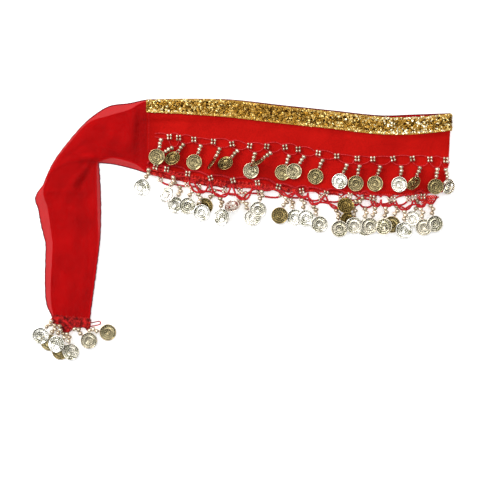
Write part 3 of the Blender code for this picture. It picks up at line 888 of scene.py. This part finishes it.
def model_coin():
    """A stamped coin, a little cupped: a raised rim, a ring of dots, and a plain flower of
    eight petals in a fine circle, the same on both sides."""
    bpy.ops.mesh.primitive_cylinder_add(
        vertices=40, radius=COIN / 2, depth=COIN_THICK, end_fill_type="NGON"
    )
    coin = bpy.context.object
    field = COIN_THICK / 2 - 0.2
    for side in (1, -1):
        bpy.ops.object.mode_set(mode="EDIT")
        # The rim, the step down to the field, and the fine circle round the flower
        for inset, push in (
            (0.75, 0.0), (0.25, -0.2), (3.6, 0.0), (0.25, 0.18), (0.4, 0.0), (0.25, -0.18),
        ):
            shape = bmesh.from_edit_mesh(coin.data)
            caps = [f for f in shape.faces if f.normal.z * side > 0.9 and len(f.verts) > 20]
            inner = min(caps, key=lambda f: f.calc_area())
            bpy.ops.mesh.select_all(action="DESELECT")
            inner.select_set(True)
            bmesh.update_edit_mesh(coin.data)
            bpy.ops.mesh.inset(thickness=inset)
            bpy.ops.transform.translate(value=(0.0, 0.0, push * side))
        bpy.ops.object.mode_set(mode="OBJECT")
    parts = [coin]

    def add_dot(angle, reach, length, width, side):
        bpy.ops.mesh.primitive_uv_sphere_add(
            segments=8, ring_count=4, radius=1.0,
            location=(reach * math.sin(angle), reach * math.cos(angle), side * field),
            rotation=(0.0, 0.0, -angle), scale=(width, length, 0.42),
        )
        parts.append(bpy.context.object)

    for side in (1, -1):
        for k in range(DOTS):
            add_dot(2 * math.pi * k / DOTS, DOT_REACH, 1.15, 0.8, side)
        for k in range(PETALS):
            add_dot(2 * math.pi * k / PETALS, PETAL_REACH, 1.35, 0.75, side)
        add_dot(0.0, 0.0, 0.9, 0.9, side)
    only(coin)
    for part in parts:
        part.select_set(True)
    bpy.context.view_layer.objects.active = coin
    bpy.ops.object.join()
    coin = bpy.context.object
    heights = np.array([abs(v.co.z) for v in coin.data.vertices])
    reach = np.array([math.hypot(v.co.x, v.co.y) for v in coin.data.vertices])
    shares = 0.8 * np.clip((heights - field) / 0.16, 0.0, 1.0)
    shares[reach > COIN / 2 - 0.9] = 1.0
    mark_points(coin.data, "relief", shares)
    radius = COIN / 2
    for vertex in coin.data.vertices:
        x, y = vertex.co.x / radius, vertex.co.y / radius
        vertex.co.z -= CUP * (1 - x**2 - y**2) - CUP / 2
    return take_mesh(coin)


def model_ring():
    """The wire ring that links a coin to its strand."""
    bpy.ops.mesh.primitive_torus_add(
        major_radius=1.7, minor_radius=0.32, major_segments=14, minor_segments=6
    )
    edit_all(bpy.ops.transform.resize, value=(1.0, 1.15, 1.0))
    return take_mesh(bpy.context.object)


# Pieces


def stitches_along(points):
    """Straight machine stitches along a line, each a short arched thread."""
    line = even_path(points, STITCH + STITCH_GAP)
    made = []
    for a, b in zip(line, line[1:]):
        end = a.lerp(b, STITCH / (STITCH + STITCH_GAP))
        rise = UP * 0.16
        made.append([a, a.lerp(end, 0.25) + rise, a.lerp(end, 0.75) + rise, end])
    return made


def make_band(material, hem_material, thread):
    """The hip band's chiffon, its rolled top hem, and its seam and hem stitches."""

    def place(u, v):
        along, turn = fold_place(u * (2 * HALF + TURN), TURN)
        height = band_height(SEAM_X + along * HALF) - BACK_TUCK * turn / 180.0
        return band_point(along, turn, v * height, v, 0.0)

    # The front is coloured deeper near the seam: gathered plies, with painted shade.
    def gathered(u, v):
        past_seam = (place(u, v).x - SEAM_X) / SEAM_GATHER_SHADE
        return 0.0 if u > 0.5 else 0.5 * (1 - ease(past_seam))

    piece = cloth_shell("hip_band_chiffon", 260, 34, place, SHEER, gathered=gathered)
    finish_piece(piece, material, "chiffon", "hip_band")
    top = [place(k / 300, 0.0) for k in range(301)]
    binding = finish_piece(tubes("band_top_hem", [top], HEM), hem_material, "chiffon")

    def on_front(x, below):
        share = below / band_height(x)
        return band_point((x - SEAM_X) / HALF, 0.0, below, share, SHEER / 2 + 0.08)

    seam = [on_front(SEAM_X + SEAM_STITCHES, 15.5 + 0.7 * k) for k in range(101)]
    hem = []
    for k in range(240):
        x = SEAM_X + 3 + (HALF - 9) * k / 239
        hem.append(on_front(x, band_height(x) - HEM_STITCHES))
    paths = stitches_along(seam) + stitches_along(hem)
    sewing = finish_piece(tubes("band_stitches", paths, SEWING), thread, "chiffon")
    return piece, binding, sewing


def braid_point(walked, down, out):
    """A point on the braid, walked along it from the front seam, at a share down it."""
    bend = math.pi * ((CLOTH + GAP) / 2 + CLOTH / 2 + GAP + BRAID / 2)
    along, turn = fold_place(walked, bend)
    table_x = SEAM_X + along * HALF
    below = BRAID_EDGE + down * (column_at(BAND, "braid", table_x) - BRAID_EDGE)
    return band_point(along, turn, below, below / band_height(table_x), CLOTH / 2 + GAP + out)


def make_braid(tape_material, sequin_material, sequin):
    """The braid's tape, its rows of sequins and the chain stitch along its edges."""
    length = 2 * HALF + math.pi * 3.5
    tape = cloth_shell(
        "braid_tape", 240, 6, lambda u, v: braid_point(u * length, v, 0.3), 0.3
    )
    finish_piece(tape, tape_material, "sequins", "sequin_braid")
    chance = random.Random(11)
    places, tones = [], []
    count = int(length / SEQUIN_PITCH)
    for row in range(SEQUIN_ROWS):
        for k in range(count):
            walked = (k + 0.5 * (row % 2) + chance.uniform(-0.2, 0.2)) * SEQUIN_PITCH + 1.0
            down = (row + 0.5 + chance.uniform(-0.3, 0.3)) / SEQUIN_ROWS
            # The back half's sequins are pressed flat between the cloth and the table.
            pressed = 0.35 if walked > HALF + 5.0 else 1.0
            lift = 0.35 + 0.2 * pressed + 0.5 * pressed * chance.random()
            here = braid_point(walked, down, lift)
            ahead = braid_point(walked + 1.0, down, 0.8) - braid_point(walked, down, 0.8)
            below = braid_point(walked, down + 0.05, 0.8) - braid_point(walked, down, 0.8)
            normal = below.cross(ahead).normalized()
            facing = Matrix(
                (ahead.normalized(), normal.cross(ahead).normalized(), normal)
            ).transposed()
            tilt = Matrix.Rotation(pressed * chance.gauss(0.0, 0.3), 3, "X")
            tilt = tilt @ Matrix.Rotation(pressed * chance.gauss(0.15, 0.3), 3, "Y")
            spin = Matrix.Rotation(chance.uniform(0.0, 0.8), 3, "Z")
            places.append(Matrix.Translation(here) @ (facing @ tilt @ spin).to_4x4())
            at_edge = row in (0, SEQUIN_ROWS - 1)
            tone = chance.uniform(0.55, 1.0) if at_edge else chance.random() ** 1.3
            # The sequins are darker about the middle of the braid's length.
            tone *= 1 - 0.28 * math.exp(-(((here.x - 30) / 75) ** 2))
            # Painted highlights: near the fold the brighter sequins are made brighter still, as if
            # they mirrored the lamp.
            painted_glint = 0.6 * math.exp(-(((here.x - 195) / 28) ** 2))
            tones.append(tone if tone < 0.62 else min(1.0, tone + painted_glint))
    piece = repeat("braid_sequins", sequin, places, tones)
    finish_piece(piece, sequin_material, "sequins")
    # Gold chain stitch along both edges
    edges = []
    for down in (0.02, 0.98):
        line = [braid_point(k * length / 370, down, 0.55) for k in range(371)]
        edges.append(looped_row(line, 0.65, 2.2))
    for walked in (0.5, length - 0.5):
        line = [braid_point(walked, k / 8, 0.55) for k in range(9)]
        edges.append(looped_row(line, 0.9, 2.4))
    stitches = tubes("braid_edge_stitches", edges, 0.34)
    finish_piece(stitches, tape_material, "sequins")


def tie_place(u, v, front):
    """A point of a tie's cloth. At the seam it laps under the band."""
    section = section_at(TIE, u * (len(TIE) - 1))
    lap = 1 - ease(u * 32)
    tuck = 0.45 if front else 0.1
    return tie_surface(section, v, front) + Vector((LAP * lap, 0.0, -tuck * lap))


def make_tie(name, front, material, hem_material, node):
    """A tie's chiffon and its two long hems."""

    # Painted light: where the front tie's ply lies alone it is coloured a lighter red.
    def alone(u, v):
        section = section_at(TIE, u * (len(TIE) - 1))
        width = math.hypot(
            section.inner_x - section.outer_x, section.inner_y - section.outer_y
        )
        past_outer = section.outer_inset - v * width
        past_inner = section.inner_inset - (1 - v) * width
        return ease(max(past_outer + 0.5, past_inner + 1.2)) if front else 0.0

    # The front tie is coloured deeper where it is gathered: several plies, with painted shade.
    def gathered(u, v):
        place = tie_place(u, v, front)
        return crease_height(place.x, place.y, TIE_GATHER_SHADE) if front else 0.0

    piece = cloth_shell(
        name, 150, 60, lambda u, v: tie_place(u, v, front), SHEER,
        alone=alone, gathered=gathered,
    )
    finish_piece(piece, material, "chiffon", node)
    # The thin hem is puckered by its overlock stitches.
    chance = random.Random(21)
    edges = []
    for v in (0.0, 1.0):
        edges.append([
            tie_place(k / 200, v, front) + Vector((chance.uniform(-0.3, 0.3), 0.0, 0.0))
            for k in range(201)
        ])
    hems = finish_piece(tubes(name + "_hems", edges, HEM), hem_material, "chiffon")
    return piece, hems


def hanging_loop(start, low, end, height, fullness=2.0):
    """A cord from knot to knot through a low point. A fullness of 2 is a parabola, and more
    makes a rounder U."""
    middle = (start + end) / 2
    loop = []
    for k in range(21):
        t = k / 20
        share = 1 - abs(2 * t - 1) ** fullness
        place = start.lerp(end, t) + (low - middle) * share
        loop.append(Vector((place.x, place.y, height(place.x, place.y))))
    return loop


def net_loops(cells, knots, line_y, rise, height, chance):
    """The cords of a net, as pairs of loops: over the top and under the bottom of a cell.
    At each knot the two part by the width of its beads."""
    loops = []
    for (along, depth), left, right in zip(cells, knots, knots[1:]):
        reach = (right - left) * 0.16
        for up, middle_y in (
            (2.2, line_y(along) + rise(along) * chance.uniform(0.6, 1.15)),
            (-1.6, line_y(along) - depth),
        ):
            start = Vector((left, line_y(left) + up + chance.uniform(-0.6, 0.6)))
            end = Vector((right, line_y(right) + up + chance.uniform(-0.6, 0.6)))
            aside = chance.uniform(-reach, reach) if up > 0 else 0.0
            low = Vector((along + aside, middle_y))
            fullness = 2.0 if up > 0 else chance.uniform(2.3, 3.6)
            loops.append(hanging_loop(start, low, end, height, fullness))
    return loops


def looped_row(points, radius, pitch):
    """A row of crochet stitches: a cord that turns one loop in each pitch of the line."""
    middle = even_path(points, pitch / 10)
    row = []
    for k, place in enumerate(middle):
        ahead = (middle[min(k + 1, len(middle) - 1)] - middle[max(k - 1, 0)]).normalized()
        side = ahead.cross(UP).normalized()
        angle = math.pi * k / 5
        turn = side * math.cos(angle) + ahead * math.sin(angle)
        row.append(place + turn * radius + Vector((0.0, 0.0, 0.45 * math.sin(angle))))
    return row


def lay_net(drops, bare, ends, line_y, rise, height, seed):
    """A net's knots, its loops of cord, and the roots of the strands that hang from its
    cells. bare are the middles of cells without a strand, and ends the net's two ends."""
    cells = sorted([(d.along, d.depth) for d in drops] + [(x, PLAIN_CELL) for x in bare])
    middles = [(a[0] + b[0]) / 2 for a, b in zip(cells, cells[1:])]
    knots = [ends[0], *middles, ends[1]]
    loops = net_loops(cells, knots, line_y, rise, height, random.Random(seed))
    roots = [(d.along, line_y(d.along) - d.depth) for d in drops]
    return knots, loops, roots


def make_fringe(name, node, loops, clusters, strands, ply, kit, rows=()):
    """A crocheted net with its clusters of small beads, and its bead strands with their
    rings. clusters are places, and each of strands is a root with its strand_layout()."""
    chance = random.Random(len(name) * 31 + len(strands))
    paths = []
    for loop in loops:
        paths += plies(loop, ply, CORD_TWIST, 0.8, 3, chance.uniform(0, 6))
    net_thread = kit["thin_thread" if ply == THIN_PLY else "thread"]
    finish_piece(tubes(name + "_crochet", paths, ply), net_thread, "crochet", node)
    if rows:
        paths = []
        for row in rows:
            paths += plies(row, STITCH_PLY, 2.6, 0.7, 2, chance.uniform(0, 6))
        stitches = tubes(name + "_stitches", paths, STITCH_PLY)
        finish_piece(stitches, kit["row_thread"], "crochet")
    small, tones = [], []
    for x, y, z in clusters:
        spin = chance.uniform(-0.3, 0.3)
        for k in range(4):
            angle = math.pi / 4 + k * math.pi / 2 + spin
            reach = CLUSTER_BEAD * 0.68
            spot = Vector((x + reach * math.cos(angle), y + reach * math.sin(angle), z))
            small.append(Matrix.Translation(spot) @ Matrix.Rotation(math.pi / 2, 4, "Y"))
            tones.append(chance.uniform(0.25, 1.0))
    if small:
        beads = repeat(name + "_clusters", kit["small_bead"], small, tones)
        finish_piece(beads, kit["bead"], "crochet")
    strung, rings, strings = [], [], []
    for start, (beads, end, down, coin) in strands:
        for centre, size in beads:
            jog = down.cross(UP) * chance.uniform(-0.5, 0.5)
            turn = UP.rotation_difference(down + jog * 0.3).to_matrix().to_4x4()
            strung.append(Matrix.Translation(centre + jog) @ turn @ Matrix.Scale(size / BEAD, 4))
        strings.append([start, *(centre for centre, size in beads), end])
        hole = coin @ Vector((0.0, COIN / 2 + 0.2, 0.0))
        tilt = Matrix.Rotation(math.radians(chance.uniform(35, 60)), 4, "Y")
        rings.append(Matrix.Translation(hole) @ coin.to_3x3().to_4x4() @ tilt)
    beads = repeat(
        name + "_beads", kit["large_bead"], strung, [chance.uniform(0.2, 1.0) for _ in strung]
    )
    finish_piece(beads, kit["bead"], "crochet")
    rings = repeat(
        name + "_rings", kit["ring"], rings, [chance.uniform(0.2, 0.8) for _ in strands]
    )
    finish_piece(rings, kit["bead"], "coin")
    finish_piece(tubes(name + "_strings", strings, STRING), kit["thread"], "crochet")


def hang_strands(drops, roots, height, base, beads=CROWDED_BEADS):
    strands = []
    for drop, (x, y) in zip(drops, roots):
        start = Vector((x, y, height(x, y)))
        strands.append((start, strand_layout(start, drop, base(x, y) + drop.lift, beads)))
    return strands


def place_coins(name, strands, tones, kit, size=1.0):
    chance = random.Random(len(name))
    for number, ((_, (_, _, _, place)), tone) in enumerate(zip(strands, tones), 1):
        node = f"{name}_{number:02d}"
        spin = Matrix.Rotation(chance.uniform(-0.25, 0.25), 4, "Z")
        rock = Matrix.Rotation(math.radians(chance.uniform(-5, 5)), 4, "Y")
        at_hole = Matrix.Translation((0.0, COIN / 2 * (1 - size), 0.0))
        turned = place @ at_hole @ rock @ spin @ Matrix.Scale(size, 4)
        piece = repeat("stamped_" + node, kit["coin"], [turned], [tone])
        finish_piece(piece, kit["plate"], "coin", node)


# Beads of the clusters are at these places along each net, read off the photograph.
UPPER_CLUSTERS = (
    -89.3, -78.2, -60.0, -36.6, -14.4, 6.8, 27.2, 49.1, 64.9, 88.8, 111.0, 135.4, 154.1,
    178.3, 201.4, 222.4, 241.4,
)
LOWER_CLUSTERS = (
    -105.8, -92.4, -67.2, -40.0, -13.2, 16.1, 41.2, 69.0, 97.9, 126.5, 153.0, 178.1,
    203.5, 213.8,
)


def make_upper_fringe(kit, tones):
    def line_y(x):
        return column_at(UPPER_LINE, "y", x)

    def height(x, y):
        return front_top(x, y) + NET_GAP + NET / 2

    ends = UPPER_DROPS[0].along - 9.0, UPPER_DROPS[-1].along + 4.6
    _, loops, roots = lay_net(UPPER_DROPS, (), ends, line_y, lambda x: 4.8, height, 3)
    spots = [(x, line_y(x), front_top(x, line_y(x)) + 2.3) for x in UPPER_CLUSTERS]
    strands = hang_strands(
        UPPER_DROPS, roots, height, lambda x, y: front_top(x, y) + GAP, NEAT_BEADS
    )
    make_fringe("upper_net", "fringe_upper", loops, spots, strands, THIN_PLY, kit)
    place_coins("coin_upper", strands, tones, kit, UPPER_COIN)


def make_lower_fringe(kit, tones):
    def line_y(x):
        return column_at(LOWER_LINE, "y", x)

    def height(x, y):
        past = column_at(BAND, "bottom", x) - y
        on_cloth = front_top(x, y) + NET_GAP + NET / 2
        on_beads = FLOOR_GAP + BEAD + NET_GAP + NET / 2
        return on_cloth + (on_beads - on_cloth) * ease(past / NET_CLIMB)

    ends = LOWER_DROPS[0].along - 3.5, LOWER_DROPS[-1].along + 7.0
    _, loops, roots = lay_net(
        LOWER_DROPS, (), ends, line_y, lambda x: LOWER_RISE, height, 5
    )
    edge = []
    for k in range(120):
        x = SEAM_X + 5 + (FOLD_X - FOLD_LEAN - SEAM_X - 8) * k / 119
        y = column_at(BAND, "bottom", x) + 0.6
        edge.append(Vector((x, y, front_top(x, y) + 0.7)))
    spots = [(x, line_y(x), height(x, line_y(x)) + 1.6) for x in LOWER_CLUSTERS]
    # A second course of cords runs from strand to strand.
    chance = random.Random(9)
    ordered = sorted(roots)
    for (left_x, left_y), (right_x, right_y) in zip(ordered, ordered[1:]):
        start = Vector((left_x, left_y + 1.0))
        end = Vector((right_x, right_y + 1.0))
        top = Vector(((left_x + right_x) / 2, max(left_y, right_y) + chance.uniform(0.5, 4.0)))
        loops.append(hanging_loop(start, top, end, height))
    strands = hang_strands(LOWER_DROPS, roots, height, lambda x, y: 0.0)
    rows = [looped_row(edge[:62], 1.7, 2.9), looped_row(edge[61:], 0.7, 2.2)]
    # Towards the tie an open row of picots lies on the cloth.
    picots = []
    for k in range(46):
        x = -112.0 + 4.0 * k
        picots.append(Vector((x, line_y(x) - 2.5, height(x, line_y(x) - 2.5) + 0.5)))
    rows.append(looped_row(picots, 2.0, 4.4))
    # At the fold the net ends in a few short rows, worked close.
    for y, first, last in ((39.5, 207.0, 231.0), (36.5, 209.0, 228.0), (33.5, 212.0, 226.0)):
        run = [first + (last - first) * k / 8 for k in range(9)]
        rows.append(looped_row([Vector((x, y, height(x, y) + 0.9)) for x in run], 1.7, 2.9))
    make_fringe("lower_net", "fringe_lower", loops, spots, strands, THICK_PLY, kit, rows)
    place_coins("coin_lower", strands, tones, kit)


def make_back_fringe(kit, tones):
    def hang(x):
        return column_at(BACK_LINE, "y", x)

    def line_y(x):
        edge = column_at(BAND, "bottom", x) + column_at(BAND, "peek", x) + BACK_TUCK
        return edge - GAP - hang(x)

    def height(x, y):
        return 2 * THICK_PLY + 0.05

    ends = BARE_BACK_CELLS[0] - 8.0, BACK_DROPS[-1].along + 8.0
    knots, loops, roots = lay_net(
        BACK_DROPS, BARE_BACK_CELLS, ends, line_y, hang, height, 7
    )
    spots = [(x, line_y(x), 2.4) for x in knots]
    strands = hang_strands(BACK_DROPS, roots, height, lambda x, y: 0.0)
    make_fringe("back_net", "fringe_back", loops, spots, strands, THICK_PLY, kit)
    place_coins("coin_back", strands, tones, kit)


def make_end_fringe(name, node, coin_name, drops, level, kit, tones, loose=()):
    """The crochet edging across a tie's end: rows of looped cord with beads between."""
    end = TIE[-1]
    slope = (end.inner_y - end.outer_y) / (end.inner_x - end.outer_x)

    def edge_y(x):
        return end.outer_y + (x - end.outer_x) * slope - GAP

    def low_y(x):
        reach = EDGING + 4.0
        for drop in drops:
            share = 1 - abs(x - drop.along) / 7.0
            reach = max(reach, EDGING + (drop.depth - EDGING) * max(0.0, share))
        return edge_y(x) - reach

    # The rows are worked loosely, so their loops stand up unevenly.
    chance = random.Random(len(name))
    rows = []
    for row in range(EDGING_ROWS):
        run = []
        for k in range(40):
            x = end.outer_x + 1.0 + (end.inner_x - end.outer_x - 2.0) * k / 39
            share = (row + 0.1) / 6.4
            y = edge_y(x) + 1.0 + (low_y(x) - edge_y(x)) * share
            stands = chance.uniform(0.0, 0.9) if level > NET else 0.0
            run.append(Vector((x, y + chance.uniform(-0.9, 0.9), level + 0.6 + stands)))
        rows.append(looped_row(run, chance.uniform(1.9, 2.5), 3.1))
    loops = []
    for drop in drops:
        tip = edge_y(drop.along) - drop.depth + THREAD / 2
        for aside in (-4.0, 4.0):
            x = min(max(drop.along + aside, end.outer_x), end.inner_x)
            start = Vector((x, edge_y(x) - 1.0))
            middle = Vector(((x + drop.along) / 2, (start.y + tip) / 2 - 1.0))
            loops.append(
                hanging_loop(start, middle, Vector((drop.along, tip)), lambda x, y: level + 0.6)
            )
    roots = [(d.along, edge_y(d.along) - d.depth + THREAD / 2) for d in drops]
    if loose:
        rows.append([Vector((x, y, level + 0.4)) for x, y in loose])
    strands = hang_strands(drops, roots, lambda x, y: level, lambda x, y: 0.0)
    make_fringe(name, node, loops, (), strands, THICK_PLY, kit, rows)
    place_coins(coin_name, strands, tones, kit)


def frame_shift():
    """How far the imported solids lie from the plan: a coin's middle in both."""
    drop = UPPER_DROPS[4]
    y = column_at(UPPER_LINE, "y", drop.along) - drop.depth
    start = Vector((drop.along, y, 0.0))
    matrix = strand_layout(start, drop, 0.0)[3]
    low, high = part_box("coin_upper_05")
    middle = (Vector(low) + Vector(high)) / 2
    spot = matrix.translation
    return Vector((middle.x - spot.x * MM, middle.y - spot.y * MM, 0.0))


def make_stage():
    bpy.ops.mesh.primitive_plane_add(size=16.0, location=(0.0, 0.0, -0.0002))
    floor = bpy.context.object
    floor.name = "floor"
    floor.data.materials.append(white_paper("white_paper"))

    world = bpy.data.worlds.new("studio")
    bpy.context.scene.world = world
    world.use_nodes = True
    tree = world.node_tree
    background = tree.nodes["Background"]
    # Softboxes with dark gaps between them overhead, for the metal to mirror.
    place = add_node(tree, "ShaderNodeTexCoord", "Generated")
    up = add_node(tree, "ShaderNodeVectorMath", "Value", {0: place, 1: (-0.22, 0.28, 0.94)},
                  operation="DOT_PRODUCT")
    overhead = ramp(tree, up, (0.3, grey(0.05)), (0.7, grey(1.0)))
    patches = noise(tree, place, 5.5, 0.0)
    gaps = ramp(tree, patches, (0.4, grey(0.12)), (0.56, grey(2.3)))
    sky = mixed(tree, 1.0, overhead, gaps, "MULTIPLY")
    set_inputs(tree, background, {"Color": sky, "Strength": 0.85})

    for name, place, size, power in (
        ("key softbox", (-1.3, 1.1, 1.4), 1.0, 24.0),
        ("overhead softbox", (0.35, 0.2, 2.3), 0.9, 9.0),
    ):
        light = bpy.data.lights.new(name, "AREA")
        light.size = size
        light.energy = power
        holder = new_object(name, light)
        holder.location = place
        holder.rotation_euler = (-Vector(place)).to_track_quat("-Z", "Y").to_euler()

    camera = new_object("camera", bpy.data.cameras.new("camera"))
    camera.data.lens = LENS
    camera.data.sensor_width = SENSOR
    camera.location = (SHIFT.x + PHOTO_X * MM, SHIFT.y + PHOTO_Y * MM, CAMERA_HEIGHT)
    bpy.context.scene.camera = camera
    bpy.context.scene.view_settings.view_transform = "Standard"


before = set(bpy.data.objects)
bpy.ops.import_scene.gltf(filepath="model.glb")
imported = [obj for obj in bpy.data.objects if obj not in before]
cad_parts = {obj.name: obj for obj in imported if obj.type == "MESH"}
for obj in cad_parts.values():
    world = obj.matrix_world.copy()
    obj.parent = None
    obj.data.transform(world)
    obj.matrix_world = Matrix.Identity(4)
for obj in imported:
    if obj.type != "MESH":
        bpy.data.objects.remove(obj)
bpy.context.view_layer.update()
SHIFT = frame_shift()

# The band's two halves lie on each other and let less light through than a tie.
band_chiffon = sheer_chiffon("lined_chiffon", 0.95, "#AE0C08", "#C4130D")
tie_chiffon = sheer_chiffon("sheer_chiffon", 0.7, "#AC0003", "#C80205")
hem_chiffon = sheer_chiffon("rolled_chiffon", 1.0, "#5A0820", "#7E0C26")
# All the cotton is one red thread. Its copies differ in painted light: the thin cord on the band
# is painted lighter, and the rows of stitches have larger painted highlights.
kit = {
    "thread": twisted_thread("crochet_cotton", "#94080F", "#DA2A30"),
    "thin_thread": twisted_thread("thin_crochet_cotton", "#A80E16", "#EE444A"),
    "row_thread": twisted_thread("highlit_crochet_cotton", "#8A060A", "#F0362C", 240.0),
    "bead": plated_bead("plated_bead"),
    "plate": stamped_plate("stamped_plate"),
    "small_bead": model_bead(CLUSTER_BEAD),
    "large_bead": model_bead(BEAD),
    "coin": model_coin(),
    "ring": model_ring(),
}

sewing_thread = twisted_thread("sewing_thread", "#8C0810", "#E0303C")
band, band_hem, band_sewing = make_band(band_chiffon, hem_chiffon, sewing_thread)
braid_tape = twisted_thread("gold_net_ground", "#A8741C", "#EABE58")
make_braid(braid_tape, gold_sequins("gold_sequins"), model_sequin())
front_tie, front_hems = make_tie("front_tie_chiffon", True, tie_chiffon, hem_chiffon, "tie_front")
back_tie, back_hems = make_tie("back_tie_chiffon", False, tie_chiffon, band_chiffon, "tie_back")
# Here and below, each coin's tone runs from olive to white: the white tones are a painted
# reflection of the lamps, with some plating wear.
make_upper_fringe(
    kit,
    (0.5, 0.4, 0.15, 0.5, 0.3, 0.2, 0.62, 0.3, 0.5, 0.58, 0.42, 1.0, 0.48, 0.48, 0.85, 0.2, 0.35,
     0.95),
)
make_lower_fringe(
    kit,
    (1.0, 1.0, 1.0, 0.95, 0.9, 0.85, 0.2, 0.95, 0.85, 0.75, 0.8, 0.05, 0.75, 0.7, 0.95, 0.75, 0.8),
)
make_back_fringe(kit, (0.9, 0.85, 0.15, 0.9, 0.95, 0.05, 0.85, 0.3, 0.9))
back_level = FLOOR_GAP + NET / 2
# The edging's copy of the thread has deeper painted shade and larger painted highlights.
edging_thread = twisted_thread("edging_cotton", "#640404", "#D42020", 240.0)
edging_kit = {**kit, "thread": edging_thread, "row_thread": edging_thread}
make_end_fringe("back_edging", "edging_back", "coin_end_back", BACK_END_DROPS, back_level,
                edging_kit, (0.5, 0.3, 0.55))
make_end_fringe("front_edging", "edging_front", "coin_end", TIE_END_DROPS,
                back_level + NET + GAP, edging_kit, (1.0, 1.0, 0.85, 0.7), LOOSE_LOOP)
make_stage()
